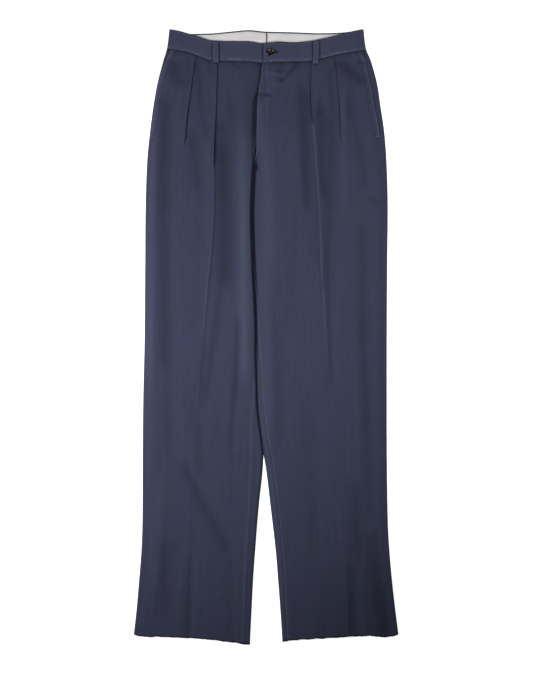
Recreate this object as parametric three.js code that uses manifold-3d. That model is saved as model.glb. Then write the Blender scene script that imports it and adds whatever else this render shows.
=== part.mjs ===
// Double-pleated chinos with raw hems, laid flat on their back with the front facing up.
// Millimetres. +X is the wearer's left, +Y runs up the garment, +Z rises from the surface it lies on.
// The origin is under the middle of the garment, on that surface.
import * as THREE from "three";
import { mergeVertices } from "three/addons/utils/BufferGeometryUtils.js";
import Module from "manifold-3d";

const wasm = await Module();
wasm.setup();

// Driving sizes
const garmentLength = 1198; // from the waistband's corners to the lowest point of the raw hems
const panelCloth = 1.5; // wall of the four trouser panels
const bandCloth = 2.4; // front waistband: two layers and its interlining
const backBandCloth = 2.2;
const curtainCloth = 1.0; // pale lining strip inside the back of the waistband
const seamGap = 0.3; // clear distance between neighbouring pieces
const edgeRadius = 2.6; // how tightly the cloth turns over at the sides and inner legs
const sideShoulder = 26; // width over which the front rises from the side to its full height
const innerShoulder = { right: 16, left: 8 }; // and from the inner leg
const bandHeight = 37.5;
const facingCloth = 1.1; // pocket facings
const bandLift = 1.5; // the back belt loops hold the waistband this far off the surface
const liftFade = { from: 62, to: 135 };
const pleatRise = 1.9; // height of a pleat's folded edge over the cloth beside it
const pleatDepth = 20; // width of cloth folded under at the waist
const creaseWidth = 8;
const flyStepUp = { rise: 0.4, width: 34 }; // the left front rises this much over the right one at the fly
const flyStepDown = { sink: 1.9, width: 30, lead: 34 }; // and the right front sinks this much under it
const bandStepUp = { rise: 1.7, from: 14, width: 26 }; // so do the waistband's overlapping ends
const bandStepDown = { sink: 1.1, from: -36, width: 26 };
const loopWidth = 11;
const button = { x: 8.6, down: 44.6, radius: 7.6, thickness: 3.2, holeRadius: 0.9, holeSpacing: 1.9 };
const crotch = { from: 224, to: 264 }; // the fronts turn from lying flat at the fly to round inner legs

// Outline of the trousers: X of the side seam folds at each distance down from the waistband's corners
const sideRows = [
  { down: 0, right: -188.2, left: 190.1 },
  { down: 37, right: -193.0, left: 195.0 },
  { down: 62, right: -201.8, left: 204.8 },
  { down: 107, right: -213.0, left: 216.3 },
  { down: 150, right: -219.5, left: 223.4 },
  { down: 195, right: -225.4, left: 230.1 },
  { down: 253, right: -231.4, left: 234.8 },
  { down: 341, right: -234.6, left: 237.4 },
  { down: 458, right: -236.5, left: 236.3 },
  { down: 605, right: -236.8, left: 235.5 },
  { down: 722, right: -239.4, left: 235.4 },
  { down: 838, right: -240.4, left: 235.7 },
  { down: 955, right: -240.9, left: 237.4 },
  { down: 1014, right: -242.9, left: 240.5 },
  { down: 1072, right: -247.4, left: 245.6 },
  { down: 1131, right: -252.5, left: 252.2 },
  { down: 1190, right: -259.2, left: 259.8 },
];

// X where each panel ends in the middle: at the fly and the seat seam, then along the inner legs.
// inseamRight and inseamLeft are how far the back panels wrap round onto the front of the legs.
const innerRows = [
  { down: 40, rightFront: 9, leftFront: -6.0, rightBack: 1.8, leftBack: 2.2, inseamRight: 0, inseamLeft: 0 },
  { down: 91, rightFront: 8, leftFront: -10.0, rightBack: -1.2, leftBack: -0.8, inseamRight: 0, inseamLeft: 0 },
  { down: 121, rightFront: 6, leftFront: -15.2, rightBack: -4.7, leftBack: -4.3, inseamRight: 0, inseamLeft: 0 },
  { down: 144, rightFront: 3, leftFront: -19.8, rightBack: -8.2, leftBack: -7.8, inseamRight: 0, inseamLeft: 0 },
  { down: 183, rightFront: -6, leftFront: -22.6, rightBack: -14.9, leftBack: -14.5, inseamRight: 0, inseamLeft: 0 },
  { down: 205, rightFront: -16, leftFront: -24.0, rightBack: -19.2, leftBack: -18.8, inseamRight: 0, inseamLeft: 0 },
  { down: 222, rightFront: -25.8, leftFront: -24.8, rightBack: -22.2, leftBack: -21.6, inseamRight: 0, inseamLeft: 0 },
  { down: 253, rightFront: -25.4, leftFront: -24.4, rightBack: -25.4, leftBack: -24.4, inseamRight: 0, inseamLeft: 0 },
  { down: 312, rightFront: -27.4, leftFront: -26.4, rightBack: -27.4, leftBack: -26.4, inseamRight: 0, inseamLeft: 0 },
  { down: 370, rightFront: -28.4, leftFront: -27.4, rightBack: -28.4, leftBack: -27.4, inseamRight: 0, inseamLeft: 0 },
  { down: 440, rightFront: -27.1, leftFront: -26.1, rightBack: -27.1, leftBack: -26.1, inseamRight: 0, inseamLeft: 0.5 },
  { down: 558, rightFront: -21.5, leftFront: -20.5, rightBack: -21.5, leftBack: -20.5, inseamRight: 0, inseamLeft: 5 },
  { down: 655, rightFront: -19.3, leftFront: -18.3, rightBack: -19.3, leftBack: -18.3, inseamRight: 3, inseamLeft: 11 },
  { down: 720, rightFront: -17.5, leftFront: -16.5, rightBack: -17.5, leftBack: -16.5, inseamRight: 10, inseamLeft: 13 },
  { down: 760, rightFront: -14.1, leftFront: -13.1, rightBack: -14.1, leftBack: -13.1, inseamRight: 18, inseamLeft: 14 },
  { down: 800, rightFront: -8.8, leftFront: -7.2, rightBack: -8.8, leftBack: -7.2, inseamRight: 24, inseamLeft: 15 },
  { down: 831, rightFront: -5.6, leftFront: -1.4, rightBack: -5.6, leftBack: -1.4, inseamRight: 26, inseamLeft: 16 },
  { down: 868, rightFront: -7.2, leftFront: 1.6, rightBack: -7.2, leftBack: 1.6, inseamRight: 26, inseamLeft: 16 },
  { down: 926, rightFront: -13.7, leftFront: 8.4, rightBack: -13.7, leftBack: 8.4, inseamRight: 23, inseamLeft: 16 },
  { down: 1014, rightFront: -20.9, leftFront: 18.7, rightBack: -20.9, leftBack: 18.7, inseamRight: 21, inseamLeft: 15 },
  { down: 1072, rightFront: -25.0, leftFront: 23.4, rightBack: -25.0, leftBack: 23.4, inseamRight: 20, inseamLeft: 14 },
  { down: 1131, rightFront: -28.0, leftFront: 27.9, rightBack: -28.0, leftBack: 27.9, inseamRight: 19, inseamLeft: 12 },
  { down: 1190, rightFront: -31.0, leftFront: 31.7, rightBack: -31.0, leftBack: 31.7, inseamRight: 18, inseamLeft: 11 },
];

// The pleats' folded edges; the inner one of each leg runs on down to the hem as the pressed crease
const pleatRows = [
  { down: 40, rightOuter: -136, rightInner: -94.6, leftInner: 88.6, leftOuter: 134.5 },
  { down: 97, rightOuter: -142.4, rightInner: -95.2, leftInner: 89.2, leftOuter: 139.6 },
  { down: 136, rightOuter: -147.4, rightInner: -95.9, leftInner: 90.4, leftOuter: 142.4 },
  { down: 183, rightOuter: -153.3, rightInner: -97.6, leftInner: 92.8, leftOuter: 147.0 },
  { down: 234, rightOuter: -156.6, rightInner: -100.0, leftInner: 97.4, leftOuter: 150.0 },
  { down: 331, rightOuter: -163.0, rightInner: -100.4, leftInner: 103.6, leftOuter: 155.5 },
  { down: 411, rightOuter: -168.0, rightInner: -104.3, leftInner: 107.0, leftOuter: 160.0 },
  { down: 493, rightOuter: -172.0, rightInner: -112.6, leftInner: 110.5, leftOuter: 164.0 },
  { down: 620, rightOuter: -177.0, rightInner: -122.9, leftInner: 119.2, leftOuter: 171.0 },
  { down: 838, rightOuter: -188.0, rightInner: -140.0, leftInner: 138.0, leftOuter: 184.0 },
  { down: 1112, rightOuter: -201.0, rightInner: -153.6, leftInner: 157.0, leftOuter: 201.0 },
  { down: 1190, rightOuter: -206.0, rightInner: -154.6, leftInner: 158.4, leftOuter: 206.0 },
];

// Height of the laid cloth over the surface, how far the pleats still stand, and how sharp the crease is
const heightRows = [
  { down: 0, loft: 6.5, pleat: 1.0, crease: 0.0 },
  { down: 62, loft: 6.5, pleat: 1.0, crease: 0.0 },
  { down: 107, loft: 6.6, pleat: 0.95, crease: 0.1 },
  { down: 160, loft: 6.6, pleat: 0.62, crease: 0.2 },
  { down: 214, loft: 6.6, pleat: 0.22, crease: 0.4 },
  { down: 252, loft: 6.5, pleat: 0.0, crease: 0.5 },
  { down: 430, loft: 6.4, pleat: 0.0, crease: 0.6 },
  { down: 640, loft: 6.3, pleat: 0.0, crease: 0.6 },
  { down: 838, loft: 6.2, pleat: 0.0, crease: 0.4 },
  { down: 1014, loft: 6.0, pleat: 0.0, crease: 0.5 },
  { down: 1190, loft: 5.8, pleat: 0.0, crease: 0.7 },
];

// How far in from the side the slanted pocket edges lie, down to the bar at their foot
const pocketRows = [
  { down: 37, right: 10.5, left: 12.5 },
  { down: 62, right: 6.5, left: 13.5 },
  { down: 90, right: 4.2, left: 15.6 },
  { down: 150, right: 4.0, left: 14.6 },
  { down: 211, right: 4.0, left: 10.8 },
];
const pocketFoot = 211;
const pocketUnderlap = 13; // the facing goes this far under the front

// The waistband: how far down its front edge, its front seam and its back edge lie at each X
const bandRows = [
  { x: -196, frontEdge: -0.6, frontSeam: 36.5, backEdge: -0.6 },
  { x: -188, frontEdge: 0.2, frontSeam: 37.4, backEdge: 0.2 },
  { x: -152, frontEdge: 8.6, frontSeam: 44.0, backEdge: 8.0 },
  { x: -129, frontEdge: 16.0, frontSeam: 52.5, backEdge: 7.9 },
  { x: -105, frontEdge: 23.2, frontSeam: 60.0, backEdge: 7.2 },
  { x: -70, frontEdge: 24.0, frontSeam: 61.0, backEdge: 3.9 },
  { x: -33, frontEdge: 24.6, frontSeam: 62.2, backEdge: 0.9 },
  { x: -4, frontEdge: 27.8, frontSeam: 64.4, backEdge: 3.6 },
  { x: 23, frontEdge: 25.2, frontSeam: 62.6, backEdge: 4.4 },
  { x: 55, frontEdge: 26.6, frontSeam: 62.4, backEdge: 5.2 },
  { x: 88, frontEdge: 23.4, frontSeam: 61.2, backEdge: 6.6 },
  { x: 103, frontEdge: 20.4, frontSeam: 57.6, backEdge: 7.0 },
  { x: 133, frontEdge: 13.4, frontSeam: 50.6, backEdge: 6.4 },
  { x: 160, frontEdge: 6.8, frontSeam: 44.6, backEdge: 4.7 },
  { x: 190, frontEdge: 0.2, frontSeam: 39.4, backEdge: 0.8 },
  { x: 198, frontEdge: -0.8, frontSeam: 38.4, backEdge: -0.4 },
];

// The raw hems, cut a little out of true: how far down each leg ends at each X
const hemRows = [
  { x: -260, hem: 1178.0 },
  { x: -246, hem: 1183.0 },
  { x: -200, hem: 1184.6 },
  { x: -144, hem: 1187.0 },
  { x: -103, hem: 1190.2 },
  { x: -64, hem: 1194.6 },
  { x: -31, hem: 1198.0 },
  { x: 0, hem: 1196.0 },
  { x: 31.7, hem: 1192.4 },
  { x: 50, hem: 1189.4 },
  { x: 95, hem: 1186.6 },
  { x: 144, hem: 1183.6 },
  { x: 203, hem: 1180.9 },
  { x: 232, hem: 1183.8 },
  { x: 250, hem: 1181.0 },
  { x: 260, hem: 1177.0 },
];

// Soft troughs (height under 0) and ridges in the fronts, each along a straight run
const foldRows = [
  { name: "side trough, right thigh", fromDown: 240, fromX: -202, toDown: 640, toX: -190, width: 14, height: -1.6 },
  { name: "trough beside the right crease", fromDown: 235, fromX: -83, toDown: 470, toX: -80, width: 15, height: -2.0 },
  { name: "its narrowing foot", fromDown: 500, fromX: -94, toDown: 690, toX: -112, width: 9, height: -1.2 },
  { name: "ridge along the right inner thigh", fromDown: 300, fromX: -47, toDown: 640, toX: -41, width: 14, height: 0.5 },
  { name: "pinch at the right knee", fromDown: 600, fromX: -56, toDown: 780, toX: -64, width: 6, height: -1.1 },
  { name: "slanting drag, right shin", fromDown: 866, fromX: -150, toDown: 1000, toX: -76, width: 13, height: -1.4 },
  { name: "hollow above the right hem", fromDown: 1015, fromX: -186, toDown: 1130, toX: -190, width: 17, height: -1.1 },
  { name: "hollow under the right band", fromDown: 72, fromX: -176, toDown: 95, toX: -172, width: 20, height: -1.4 },
  { name: "trough between the right pleats", fromDown: 82, fromX: -129, toDown: 200, toX: -117, width: 6, height: -1.2 },
  { name: "dip beside the fly", fromDown: 80, fromX: -34, toDown: 260, toX: -42, width: 13, height: -1.5 },
  { name: "trough beside the left crease", fromDown: 300, fromX: 123, toDown: 480, toX: 122, width: 12, height: -1.6 },
  { name: "its narrow foot", fromDown: 500, fromX: 121, toDown: 660, toX: 130, width: 8, height: -1.1 },
  { name: "side trough, left thigh", fromDown: 400, fromX: 192, toDown: 600, toX: 194, width: 12, height: -1.5 },
  { name: "side trough, left knee", fromDown: 600, fromX: 196, toDown: 920, toX: 200, width: 14, height: -1.6 },
  { name: "ridge along the left inner leg", fromDown: 290, fromX: -8, toDown: 760, toX: 2, width: 16, height: 0.5 },
  { name: "trough before the left pleat", fromDown: 140, fromX: 74, toDown: 300, toX: 84, width: 12, height: -1.4 },
  { name: "trough between the left pleats", fromDown: 150, fromX: 118, toDown: 320, toX: 127, width: 12, height: -1.6 },
  { name: "hollow under the left band", fromDown: 76, fromX: 158, toDown: 92, toX: 182, width: 18, height: -1.4 },
  { name: "drag below the left front", fromDown: 74, fromX: 66, toDown: 110, toX: 32, width: 8, height: -0.9 },
  { name: "hollow above the left hem", fromDown: 900, fromX: 178, toDown: 1010, toX: 184, width: 22, height: -1.0 },
];

const materials = {
  twill: new THREE.MeshStandardMaterial({ name: "navy twill", color: 0x42465a, roughness: 0.92, metalness: 0 }),
  curtain: new THREE.MeshStandardMaterial({ name: "pale curtain", color: 0xc9c6c4, roughness: 0.9, metalness: 0 }),
  horn: new THREE.MeshStandardMaterial({ name: "brown button", color: 0x2b1a10, roughness: 0.35, metalness: 0 }),
};

const smooth = (t) => THREE.MathUtils.smoothstep(t, 0, 1);
const bell = (distance, width) => Math.exp(-((distance / width) ** 2));

// Reads one column of a table on a smooth curve through its rows
function read(rows, name, at, by = "down") {
  const last = rows.length - 1;
  const slope = (k) => {
    const before = rows[Math.max(k - 1, 0)];
    const after = rows[Math.min(k + 1, last)];
    return (after[name] - before[name]) / (after[by] - before[by]);
  };
  if (at <= rows[0][by]) return rows[0][name];
  if (at >= rows[last][by]) return rows[last][name];
  const next = rows.findIndex((row) => row[by] > at);
  const a = rows[next - 1];
  const b = rows[next];
  const span = b[by] - a[by];
  const t = (at - a[by]) / span;
  const rise = b[name] - a[name];
  const start = slope(next - 1) * span;
  const end = slope(next) * span;
  return a[name] + t * (start + t * (3 * rise - 2 * start - end + t * (start + end - 2 * rise)));
}

const sideAt = (side, down) => read(sideRows, side, down);
const innerAt = (side, layer, down) => read(innerRows, side + layer, down);
const inseamAt = (side, down) => read(innerRows, side === "right" ? "inseamRight" : "inseamLeft", down);
const turnAt = (down) => smooth((down - crotch.from) / (crotch.to - crotch.from));
const liftAt = (down) => bandLift * (1 - smooth((down - liftFade.from) / (liftFade.to - liftFade.from)));
const towardsMiddle = (side) => (side === "right" ? 1 : -1);

// Where the cloth turns over an edge. run is measured along the cloth from the edge itself,
// and turn says how much of a quarter round it makes: 0 lies flat, 1 reaches half height.
function turnedEdge(run, turn) {
  const angle = (Math.PI / 2) * turn;
  const arc = edgeRadius * angle;
  const lean = run < arc ? angle * (1 - run / arc) : 0;
  return {
    inset: edgeRadius * (Math.sin(angle) - Math.sin(lean)) + Math.max(0, run - arc),
    drop: edgeRadius * (1 - Math.cos(lean)),
    lean,
  };
}

function foldsAt(x, down) {
  return foldRows.reduce((sum, fold) => {
    const alongX = fold.toX - fold.fromX;
    const alongDown = fold.toDown - fold.fromDown;
    const share = ((x - fold.fromX) * alongX + (down - fold.fromDown) * alongDown) / (alongX ** 2 + alongDown ** 2);
    const t = THREE.MathUtils.clamp(share, 0, 1);
    const away = Math.hypot(x - fold.fromX - t * alongX, (down - fold.fromDown - t * alongDown) / 2);
    return sum + fold.height * bell(away, fold.width);
  }, 0);
}

// Height of the upper face of a front panel, without its pleats
function frontTop(side, x, down) {
  const floor = liftAt(down) + 2 * edgeRadius;
  const full = read(heightRows, "loft", down) - 2 * edgeRadius;
  const fromSide = smooth(Math.abs(x - sideAt(side, down)) / sideShoulder);
  const inward = towardsMiddle(side) * (innerAt(side, "Front", down) - x);
  const fromInner = 1 - turnAt(down) * (1 - smooth(inward / innerShoulder[side]));
  const crease = read(heightRows, "crease", down);
  const toCrease = Math.abs(x - read(pleatRows, side + "Inner", down));
  const relief = foldsAt(x, down) + crease * Math.exp(-toCrease / creaseWidth);
  return floor + (full + relief) * fromSide * fromInner + flyStep(side, x, down);
}

// The left front lies over the right one at the fly, so one rises there and the other sinks under it
function flyStep(side, x, down) {
  const open = 1 - turnAt(down + 16);
  const flyEdge = innerAt("left", "Front", down);
  if (side === "left") return flyStepUp.rise * open * (1 - smooth((x - flyEdge) / flyStepUp.width));
  return -flyStepDown.sink * open * smooth((x - flyEdge + flyStepDown.lead) / flyStepDown.width);
}

// How far a front panel is raised by the cloth folded under its pleats
function pleatLift(side, x, down) {
  const standing = pleatRise * read(heightRows, "pleat", down);
  return ["Outer", "Inner"].reduce((most, which) => {
    const behind = towardsMiddle(side) * (read(pleatRows, side + which, down) - x);
    return behind < 0 ? most : Math.max(most, standing * (1 - smooth(behind / pleatDepth)));
  }, 0);
}

// One closed solid between a grid of outer points and the same grid of inner points
function clothWall(name, outer, inner, material) {
  const rows = outer.length;
  const columns = outer[0].length;
  const positions = [...outer.flat(), ...inner.flat()].flatMap((p) => [p.x, p.y, p.z]);
  const index = [];
  const quad = (a, b, c, d) => index.push(a, b, c, a, c, d);
  const at = (i, j, layer) => layer * rows * columns + i * columns + j;
  for (let i = 0; i < rows - 1; i++) {
    for (let j = 0; j < columns - 1; j++) {
      quad(at(i, j, 0), at(i + 1, j, 0), at(i + 1, j + 1, 0), at(i, j + 1, 0));
      quad(at(i, j, 1), at(i, j + 1, 1), at(i + 1, j + 1, 1), at(i + 1, j, 1));
    }
  }
  for (let j = 0; j < columns - 1; j++) {
    quad(at(0, j, 1), at(0, j, 0), at(0, j + 1, 0), at(0, j + 1, 1));
    quad(at(rows - 1, j, 0), at(rows - 1, j, 1), at(rows - 1, j + 1, 1), at(rows - 1, j + 1, 0));
  }
  for (let i = 0; i < rows - 1; i++) {
    quad(at(i, 0, 0), at(i, 0, 1), at(i + 1, 0, 1), at(i + 1, 0, 0));
    quad(at(i, columns - 1, 1), at(i, columns - 1, 0), at(i + 1, columns - 1, 0), at(i + 1, columns - 1, 1));
  }
  const geometry = new THREE.BufferGeometry();
  geometry.setAttribute("position", new THREE.Float32BufferAttribute(positions, 3));
  geometry.setIndex(enclosedVolume(positions, index) < 0 ? index.reverse() : index);
  geometry.computeVertexNormals();
  const mesh = new THREE.Mesh(geometry, material);
  mesh.name = name;
  return mesh;
}

function enclosedVolume(positions, index) {
  const corner = (k) => new THREE.Vector3().fromArray(positions, 3 * index[k]);
  let volume = 0;
  for (let k = 0; k < index.length; k += 3) {
    volume += corner(k).dot(corner(k + 1).cross(corner(k + 2))) / 6;
  }
  return volume;
}

const place = (x, down, z) => new THREE.Vector3(x, garmentLength / 2 - down, z);

// Levels down the panels; the first follows the waistband seam and the last the hem
const panelLevels = [
  62, 78, 97, 117, 140, 165, 190, 209.5, 213.5, 226, 242, 262, 296, 341, 392, 445, 500, 558, 620, 680, 725, 765, 800, 832,
  868, 926, 985, 1045, 1100, 1148, 1190,
];
const hemBlend = 60;
const seamBlend = 120;

// A level bent to follow the waistband seam above and the cut hem below
function levelAt(base, x, seamName) {
  const edge = seamName === "back" ? read(bandRows, "backEdge", x, "x") + bandHeight : read(bandRows, "frontSeam", x, "x");
  const nearSeam = 1 - smooth((base - panelLevels[0]) / seamBlend);
  const nearHem = smooth((base - panelLevels.at(-1) + hemBlend) / hemBlend);
  const seamShift = edge + seamGap - panelLevels[0];
  const hemShift = read(hemRows, "hem", x, "x") - panelLevels.at(-1);
  return base + seamShift * nearSeam + hemShift * nearHem;
}

// Cloth runs from an edge at which both faces of the turned cloth get their columns
const edgeRuns = [seamGap / 2, 1.4, 2.7, 4.1, 9.5];

const pocketAt = (side, down) => (down < pocketFoot ? read(pocketRows, side, down) : 0);

// Columns of a front panel at one level, from the side to the middle: each has the plan X, the
// drop and lean of a turned edge, and the rise of the upper face over the plain cloth
function frontColumns(side, base) {
  const inwards = towardsMiddle(side);
  const levelNear = (x) => levelAt(base, x, "front");
  const atSide = (run) => {
    const guess = levelNear(sideAt(side, base) + inwards * run);
    const edge = turnedEdge(run + pocketAt(side, guess), 1);
    return { x: sideAt(side, guess) + inwards * edge.inset, drop: edge.drop, lean: -inwards * edge.lean };
  };
  const atInner = (run) => {
    const guess = levelNear(innerAt(side, "Front", base));
    const edge = turnedEdge(run + inseamAt(side, guess), turnAt(guess));
    return {
      x: innerAt(side, "Front", guess) - inwards * edge.inset,
      drop: edge.drop,
      lean: inwards * edge.lean,
    };
  };
  // A pleat's folded edge: its top, its nose, and the cloth that returns beneath it
  const lip = [
    { flat: -0.75, folded: -0.7, height: 1.0 },
    { flat: -0.25, folded: 0.0, height: 0.72 },
    { flat: 0.25, folded: -0.5, height: 0.4 },
    { flat: 0.75, folded: -2.2, height: 0.0 },
  ];
  const atPleat = (which) => {
    const guess = levelNear(read(pleatRows, side + which, base));
    const line = read(pleatRows, side + which, guess);
    const standing = read(heightRows, "pleat", guess);
    return lip.map(({ flat, folded, height }) => ({
      x: line + inwards * THREE.MathUtils.lerp(flat, folded, standing),
      plainX: line + inwards * flat,
      rise: pleatRise * standing * height,
    }));
  };
  const between = (from, to, count) =>
    Array.from({ length: count }, (_, k) => ({ x: THREE.MathUtils.lerp(from.x, to.x, (k + 1) / (count + 1)) }));
  const sideEnd = edgeRuns.map(atSide);
  const innerEnd = edgeRuns.map(atInner).reverse();
  const outerPleat = atPleat("Outer");
  const innerPleat = atPleat("Inner");
  return [
    ...sideEnd,
    ...between(sideEnd.at(-1), outerPleat[0], 3),
    ...outerPleat,
    ...between(outerPleat.at(-1), innerPleat[0], 3),
    ...innerPleat,
    ...between(innerPleat.at(-1), innerEnd[0], 5),
    ...innerEnd,
  ];
}

function frontPanel(side) {
  const outer = [];
  const inner = [];
  for (const base of panelLevels) {
    const outerRow = [];
    const innerRow = [];
    for (const column of frontColumns(side, base)) {
      const plainX = column.plainX ?? column.x;
      const down = levelAt(base, plainX, "front");
      const plain = frontTop(side, plainX, down) - (column.drop ?? 0);
      const rise = column.rise ?? pleatLift(side, plainX, down);
      const lean = column.lean ?? 0;
      outerRow.push(place(column.x, down, plain + rise));
      innerRow.push(place(plainX - panelCloth * Math.sin(lean), down, plain - panelCloth * Math.cos(lean)));
    }
    outer.push(outerRow);
    inner.push(innerRow);
  }
  return clothWall("front_panel_" + side, outer, inner, materials.twill);
}

// X of the flat columns of a back panel at one level, between its two turned edges
function backStations(side, base) {
  const inwards = towardsMiddle(side);
  const level = levelAt(base, sideAt(side, base), "back");
  const innerLevel = levelAt(base, innerAt(side, "Back", base), "back");
  const sideX = sideAt(side, level) + inwards * turnedEdge(edgeRuns.at(-1), 1).inset;
  const innerX = innerAt(side, "Back", innerLevel) - inwards * turnedEdge(edgeRuns.at(-1), turnAt(innerLevel)).inset;
  return [0.2, 0.4, 0.6, 0.8, 1].map((share) => THREE.MathUtils.lerp(sideX, innerX, share));
}

// A back panel lies flat, rises round the side to the seam, and wraps round the inner leg to the inseam
function backPanel(side) {
  const inwards = towardsMiddle(side);
  const outer = [];
  const inner = [];
  for (const base of panelLevels) {
    const outerRow = [];
    const innerRow = [];
    const add = (x, down, z, sinLean, cosLean) => {
      outerRow.push(place(x, down, z));
      innerRow.push(place(x - panelCloth * sinLean, down, z - panelCloth * cosLean));
    };
    const level = levelAt(base, sideAt(side, base), "back");
    for (const run of edgeRuns) {
      const edge = turnedEdge(run, 1);
      const x = sideAt(side, level) + inwards * edge.inset;
      add(x, levelAt(base, x, "back"), liftAt(level) + edge.drop, -inwards * Math.sin(edge.lean), -Math.cos(edge.lean));
    }
    const innerLevel = levelAt(base, innerAt(side, "Back", base), "back");
    const turn = turnAt(innerLevel);
    const middle = innerAt(side, "Back", innerLevel);
    for (const x of backStations(side, base)) {
      const down = levelAt(base, x, "back");
      add(x, down, liftAt(down), 0, -1);
    }
    for (const run of [...edgeRuns].reverse().slice(1, 4)) {
      const edge = turnedEdge(run, turn);
      const x = middle - inwards * edge.inset;
      const down = levelAt(base, x, "back");
      add(x, down, liftAt(down) + edge.drop, inwards * Math.sin(edge.lean), -Math.cos(edge.lean));
    }
    // From just under the inner edge, up and over it to the inseam
    const start = -edgeRuns[1] + 0.5;
    const end = inseamAt(side, innerLevel) - seamGap / 2;
    for (const share of [0, 0.25, 0.5, 0.75, 1]) {
      const run = THREE.MathUtils.lerp(start, end, share);
      const edge = turnedEdge(Math.abs(run), turn);
      const x = middle - inwards * edge.inset;
      const down = levelAt(base, x, "back");
      const over = run > 0;
      const z = over ? frontTop(side, x, down) - edge.drop : liftAt(down) + edge.drop;
      add(x, down, z, inwards * Math.sin(edge.lean), (over ? 1 : -1) * Math.cos(edge.lean));
    }
    outer.push(outerRow);
    inner.push(innerRow);
  }
  return clothWall("back_panel_" + side, outer, inner, materials.twill);
}

// The pocket facing shows between the slanted pocket edge and the side, and runs on under the front
function pocketFacing(side) {
  const inwards = towardsMiddle(side);
  const levels = [62, 78, 97, 117, 140, 165, 190, pocketFoot - 1.8];
  const shares = [0, 0.16, 0.32, 0.48, 0.64, 0.82, 1];
  const outer = [];
  const inner = [];
  for (const base of levels) {
    const level = levelAt(base, sideAt(side, base), "front");
    const pocket = pocketAt(side, level);
    const rows = shares.map((share) => {
      const run = THREE.MathUtils.lerp(seamGap / 2, pocket + pocketUnderlap, share);
      const edge = turnedEdge(run, 1);
      const x = sideAt(side, level) + inwards * edge.inset;
      const down = levelAt(base, x, "front");
      const under = (panelCloth + seamGap) * smooth(run / Math.max(pocket - 0.4, 3.2));
      const lean = -inwards * edge.lean;
      const z = frontTop(side, x, down) - edge.drop;
      const sink = (depth) => place(x - depth * Math.sin(lean), down, z - depth * Math.cos(lean));
      return [sink(under), sink(under + facingCloth)];
    });
    outer.push(rows.map(([upper]) => upper));
    inner.push(rows.map(([, lower]) => lower));
  }
  return clothWall("pocket_facing_" + side, outer, inner, materials.twill);
}

const bandTop = bandLift + 7.6; // upper face of the front waistband away from its ends
const bandShare = [0, 0.25, 0.5, 0.75, 1];
const overlapEnd = { right: 14, left: -4.9 }; // the left end lies over the right one, under the button

// Upper face of the front waistband: it falls to the side folds, and steps at the overlap
function bandTopAt(side, x, down) {
  const edgeTop = bandLift + 2 * edgeRadius;
  const fromSide = smooth(Math.abs(x - sideAt(side, down)) / sideShoulder);
  const plain = edgeTop + (bandTop - edgeTop) * fromSide;
  if (side === "left") return plain + bandStepUp.rise * (1 - smooth((x - bandStepUp.from) / bandStepUp.width));
  return plain - bandStepDown.sink * smooth((x - bandStepDown.from) / bandStepDown.width);
}

// A waistband half between its upper edge and the seam, with its columns on those of the panel below
function bandHalf(name, side, columns, edgeName, heightAt) {
  const inwards = towardsMiddle(side);
  const outer = [];
  const inner = [];
  for (const share of bandShare) {
    const outerRow = [];
    const innerRow = [];
    for (const { x, drop, lean } of columns) {
      const edge = read(bandRows, edgeName, x, "x");
      const seam = edgeName === "backEdge" ? edge + bandHeight : read(bandRows, "frontSeam", x, "x");
      const down = THREE.MathUtils.lerp(edge, seam, share);
      const fromSide = Math.abs(x - sideAt(side, seam));
      const sway = (sideAt(side, down) - sideAt(side, seam)) * (1 - smooth((fromSide - 12) / 50));
      const { z, wall } = heightAt(x + sway, down, drop, lean);
      outerRow.push(place(x + sway, down, z));
      innerRow.push(place(x + sway + inwards * Math.abs(wall) * Math.sin(lean), down, z + wall * Math.cos(lean)));
    }
    outer.push(outerRow);
    inner.push(innerRow);
  }
  return clothWall(name, outer, inner, materials.twill);
}

function sideColumns(side, seam) {
  return edgeRuns.map((run) => {
    const edge = turnedEdge(run, 1);
    return { x: sideAt(side, seam) + towardsMiddle(side) * edge.inset, drop: edge.drop, lean: edge.lean };
  });
}

function frontBand(side) {
  const inwards = towardsMiddle(side);
  const end = overlapEnd[side];
  const plain = (x) => ({ x, drop: 0, lean: 0 });
  const below = frontColumns(side, panelLevels[0])
    .filter(({ x, rise = 1 }) => rise !== 0 && inwards * (end - x) > 1)
    .map(({ x }) => plain(x));
  const columns = [...sideColumns(side, bandHeight), ...below, plain(end)];
  return bandHalf("waistband_front_" + side, side, columns, "frontEdge", (x, down, drop) => ({
    z: bandTopAt(side, x, down) - drop,
    wall: -bandCloth,
  }));
}

function backBand(side) {
  const middle = innerAt(side, "Back", bandHeight);
  const plain = backStations(side, panelLevels[0]).map((x) => ({ x, drop: 0, lean: 0 }));
  const columns = [...sideColumns(side, bandHeight), ...plain, { x: middle, drop: 0, lean: 0 }];
  return bandHalf("waistband_back_" + side, side, columns, "backEdge", (x, down, drop) => ({
    z: bandLift + drop,
    wall: backBandCloth,
  }));
}

// The pale curtain lies on the inside of the back waistband, in two halves parted at the seat seam
function curtain(side) {
  const [from, to] = side === "right" ? [-150, 0.4] : [156, 4.4];
  const bottom = bandLift + backBandCloth + seamGap;
  const outer = [];
  const inner = [];
  for (const below of [2.2, 12, 24, 44]) {
    const xs = Array.from({ length: 9 }, (_, k) => THREE.MathUtils.lerp(from, to, k / 8));
    const row = (z) => xs.map((x) => place(x, read(bandRows, "backEdge", x, "x") + below, z));
    outer.push(row(bottom + curtainCloth));
    inner.push(row(bottom));
  }
  return clothWall("waistband_curtain_" + side, outer, inner, materials.curtain);
}

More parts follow.
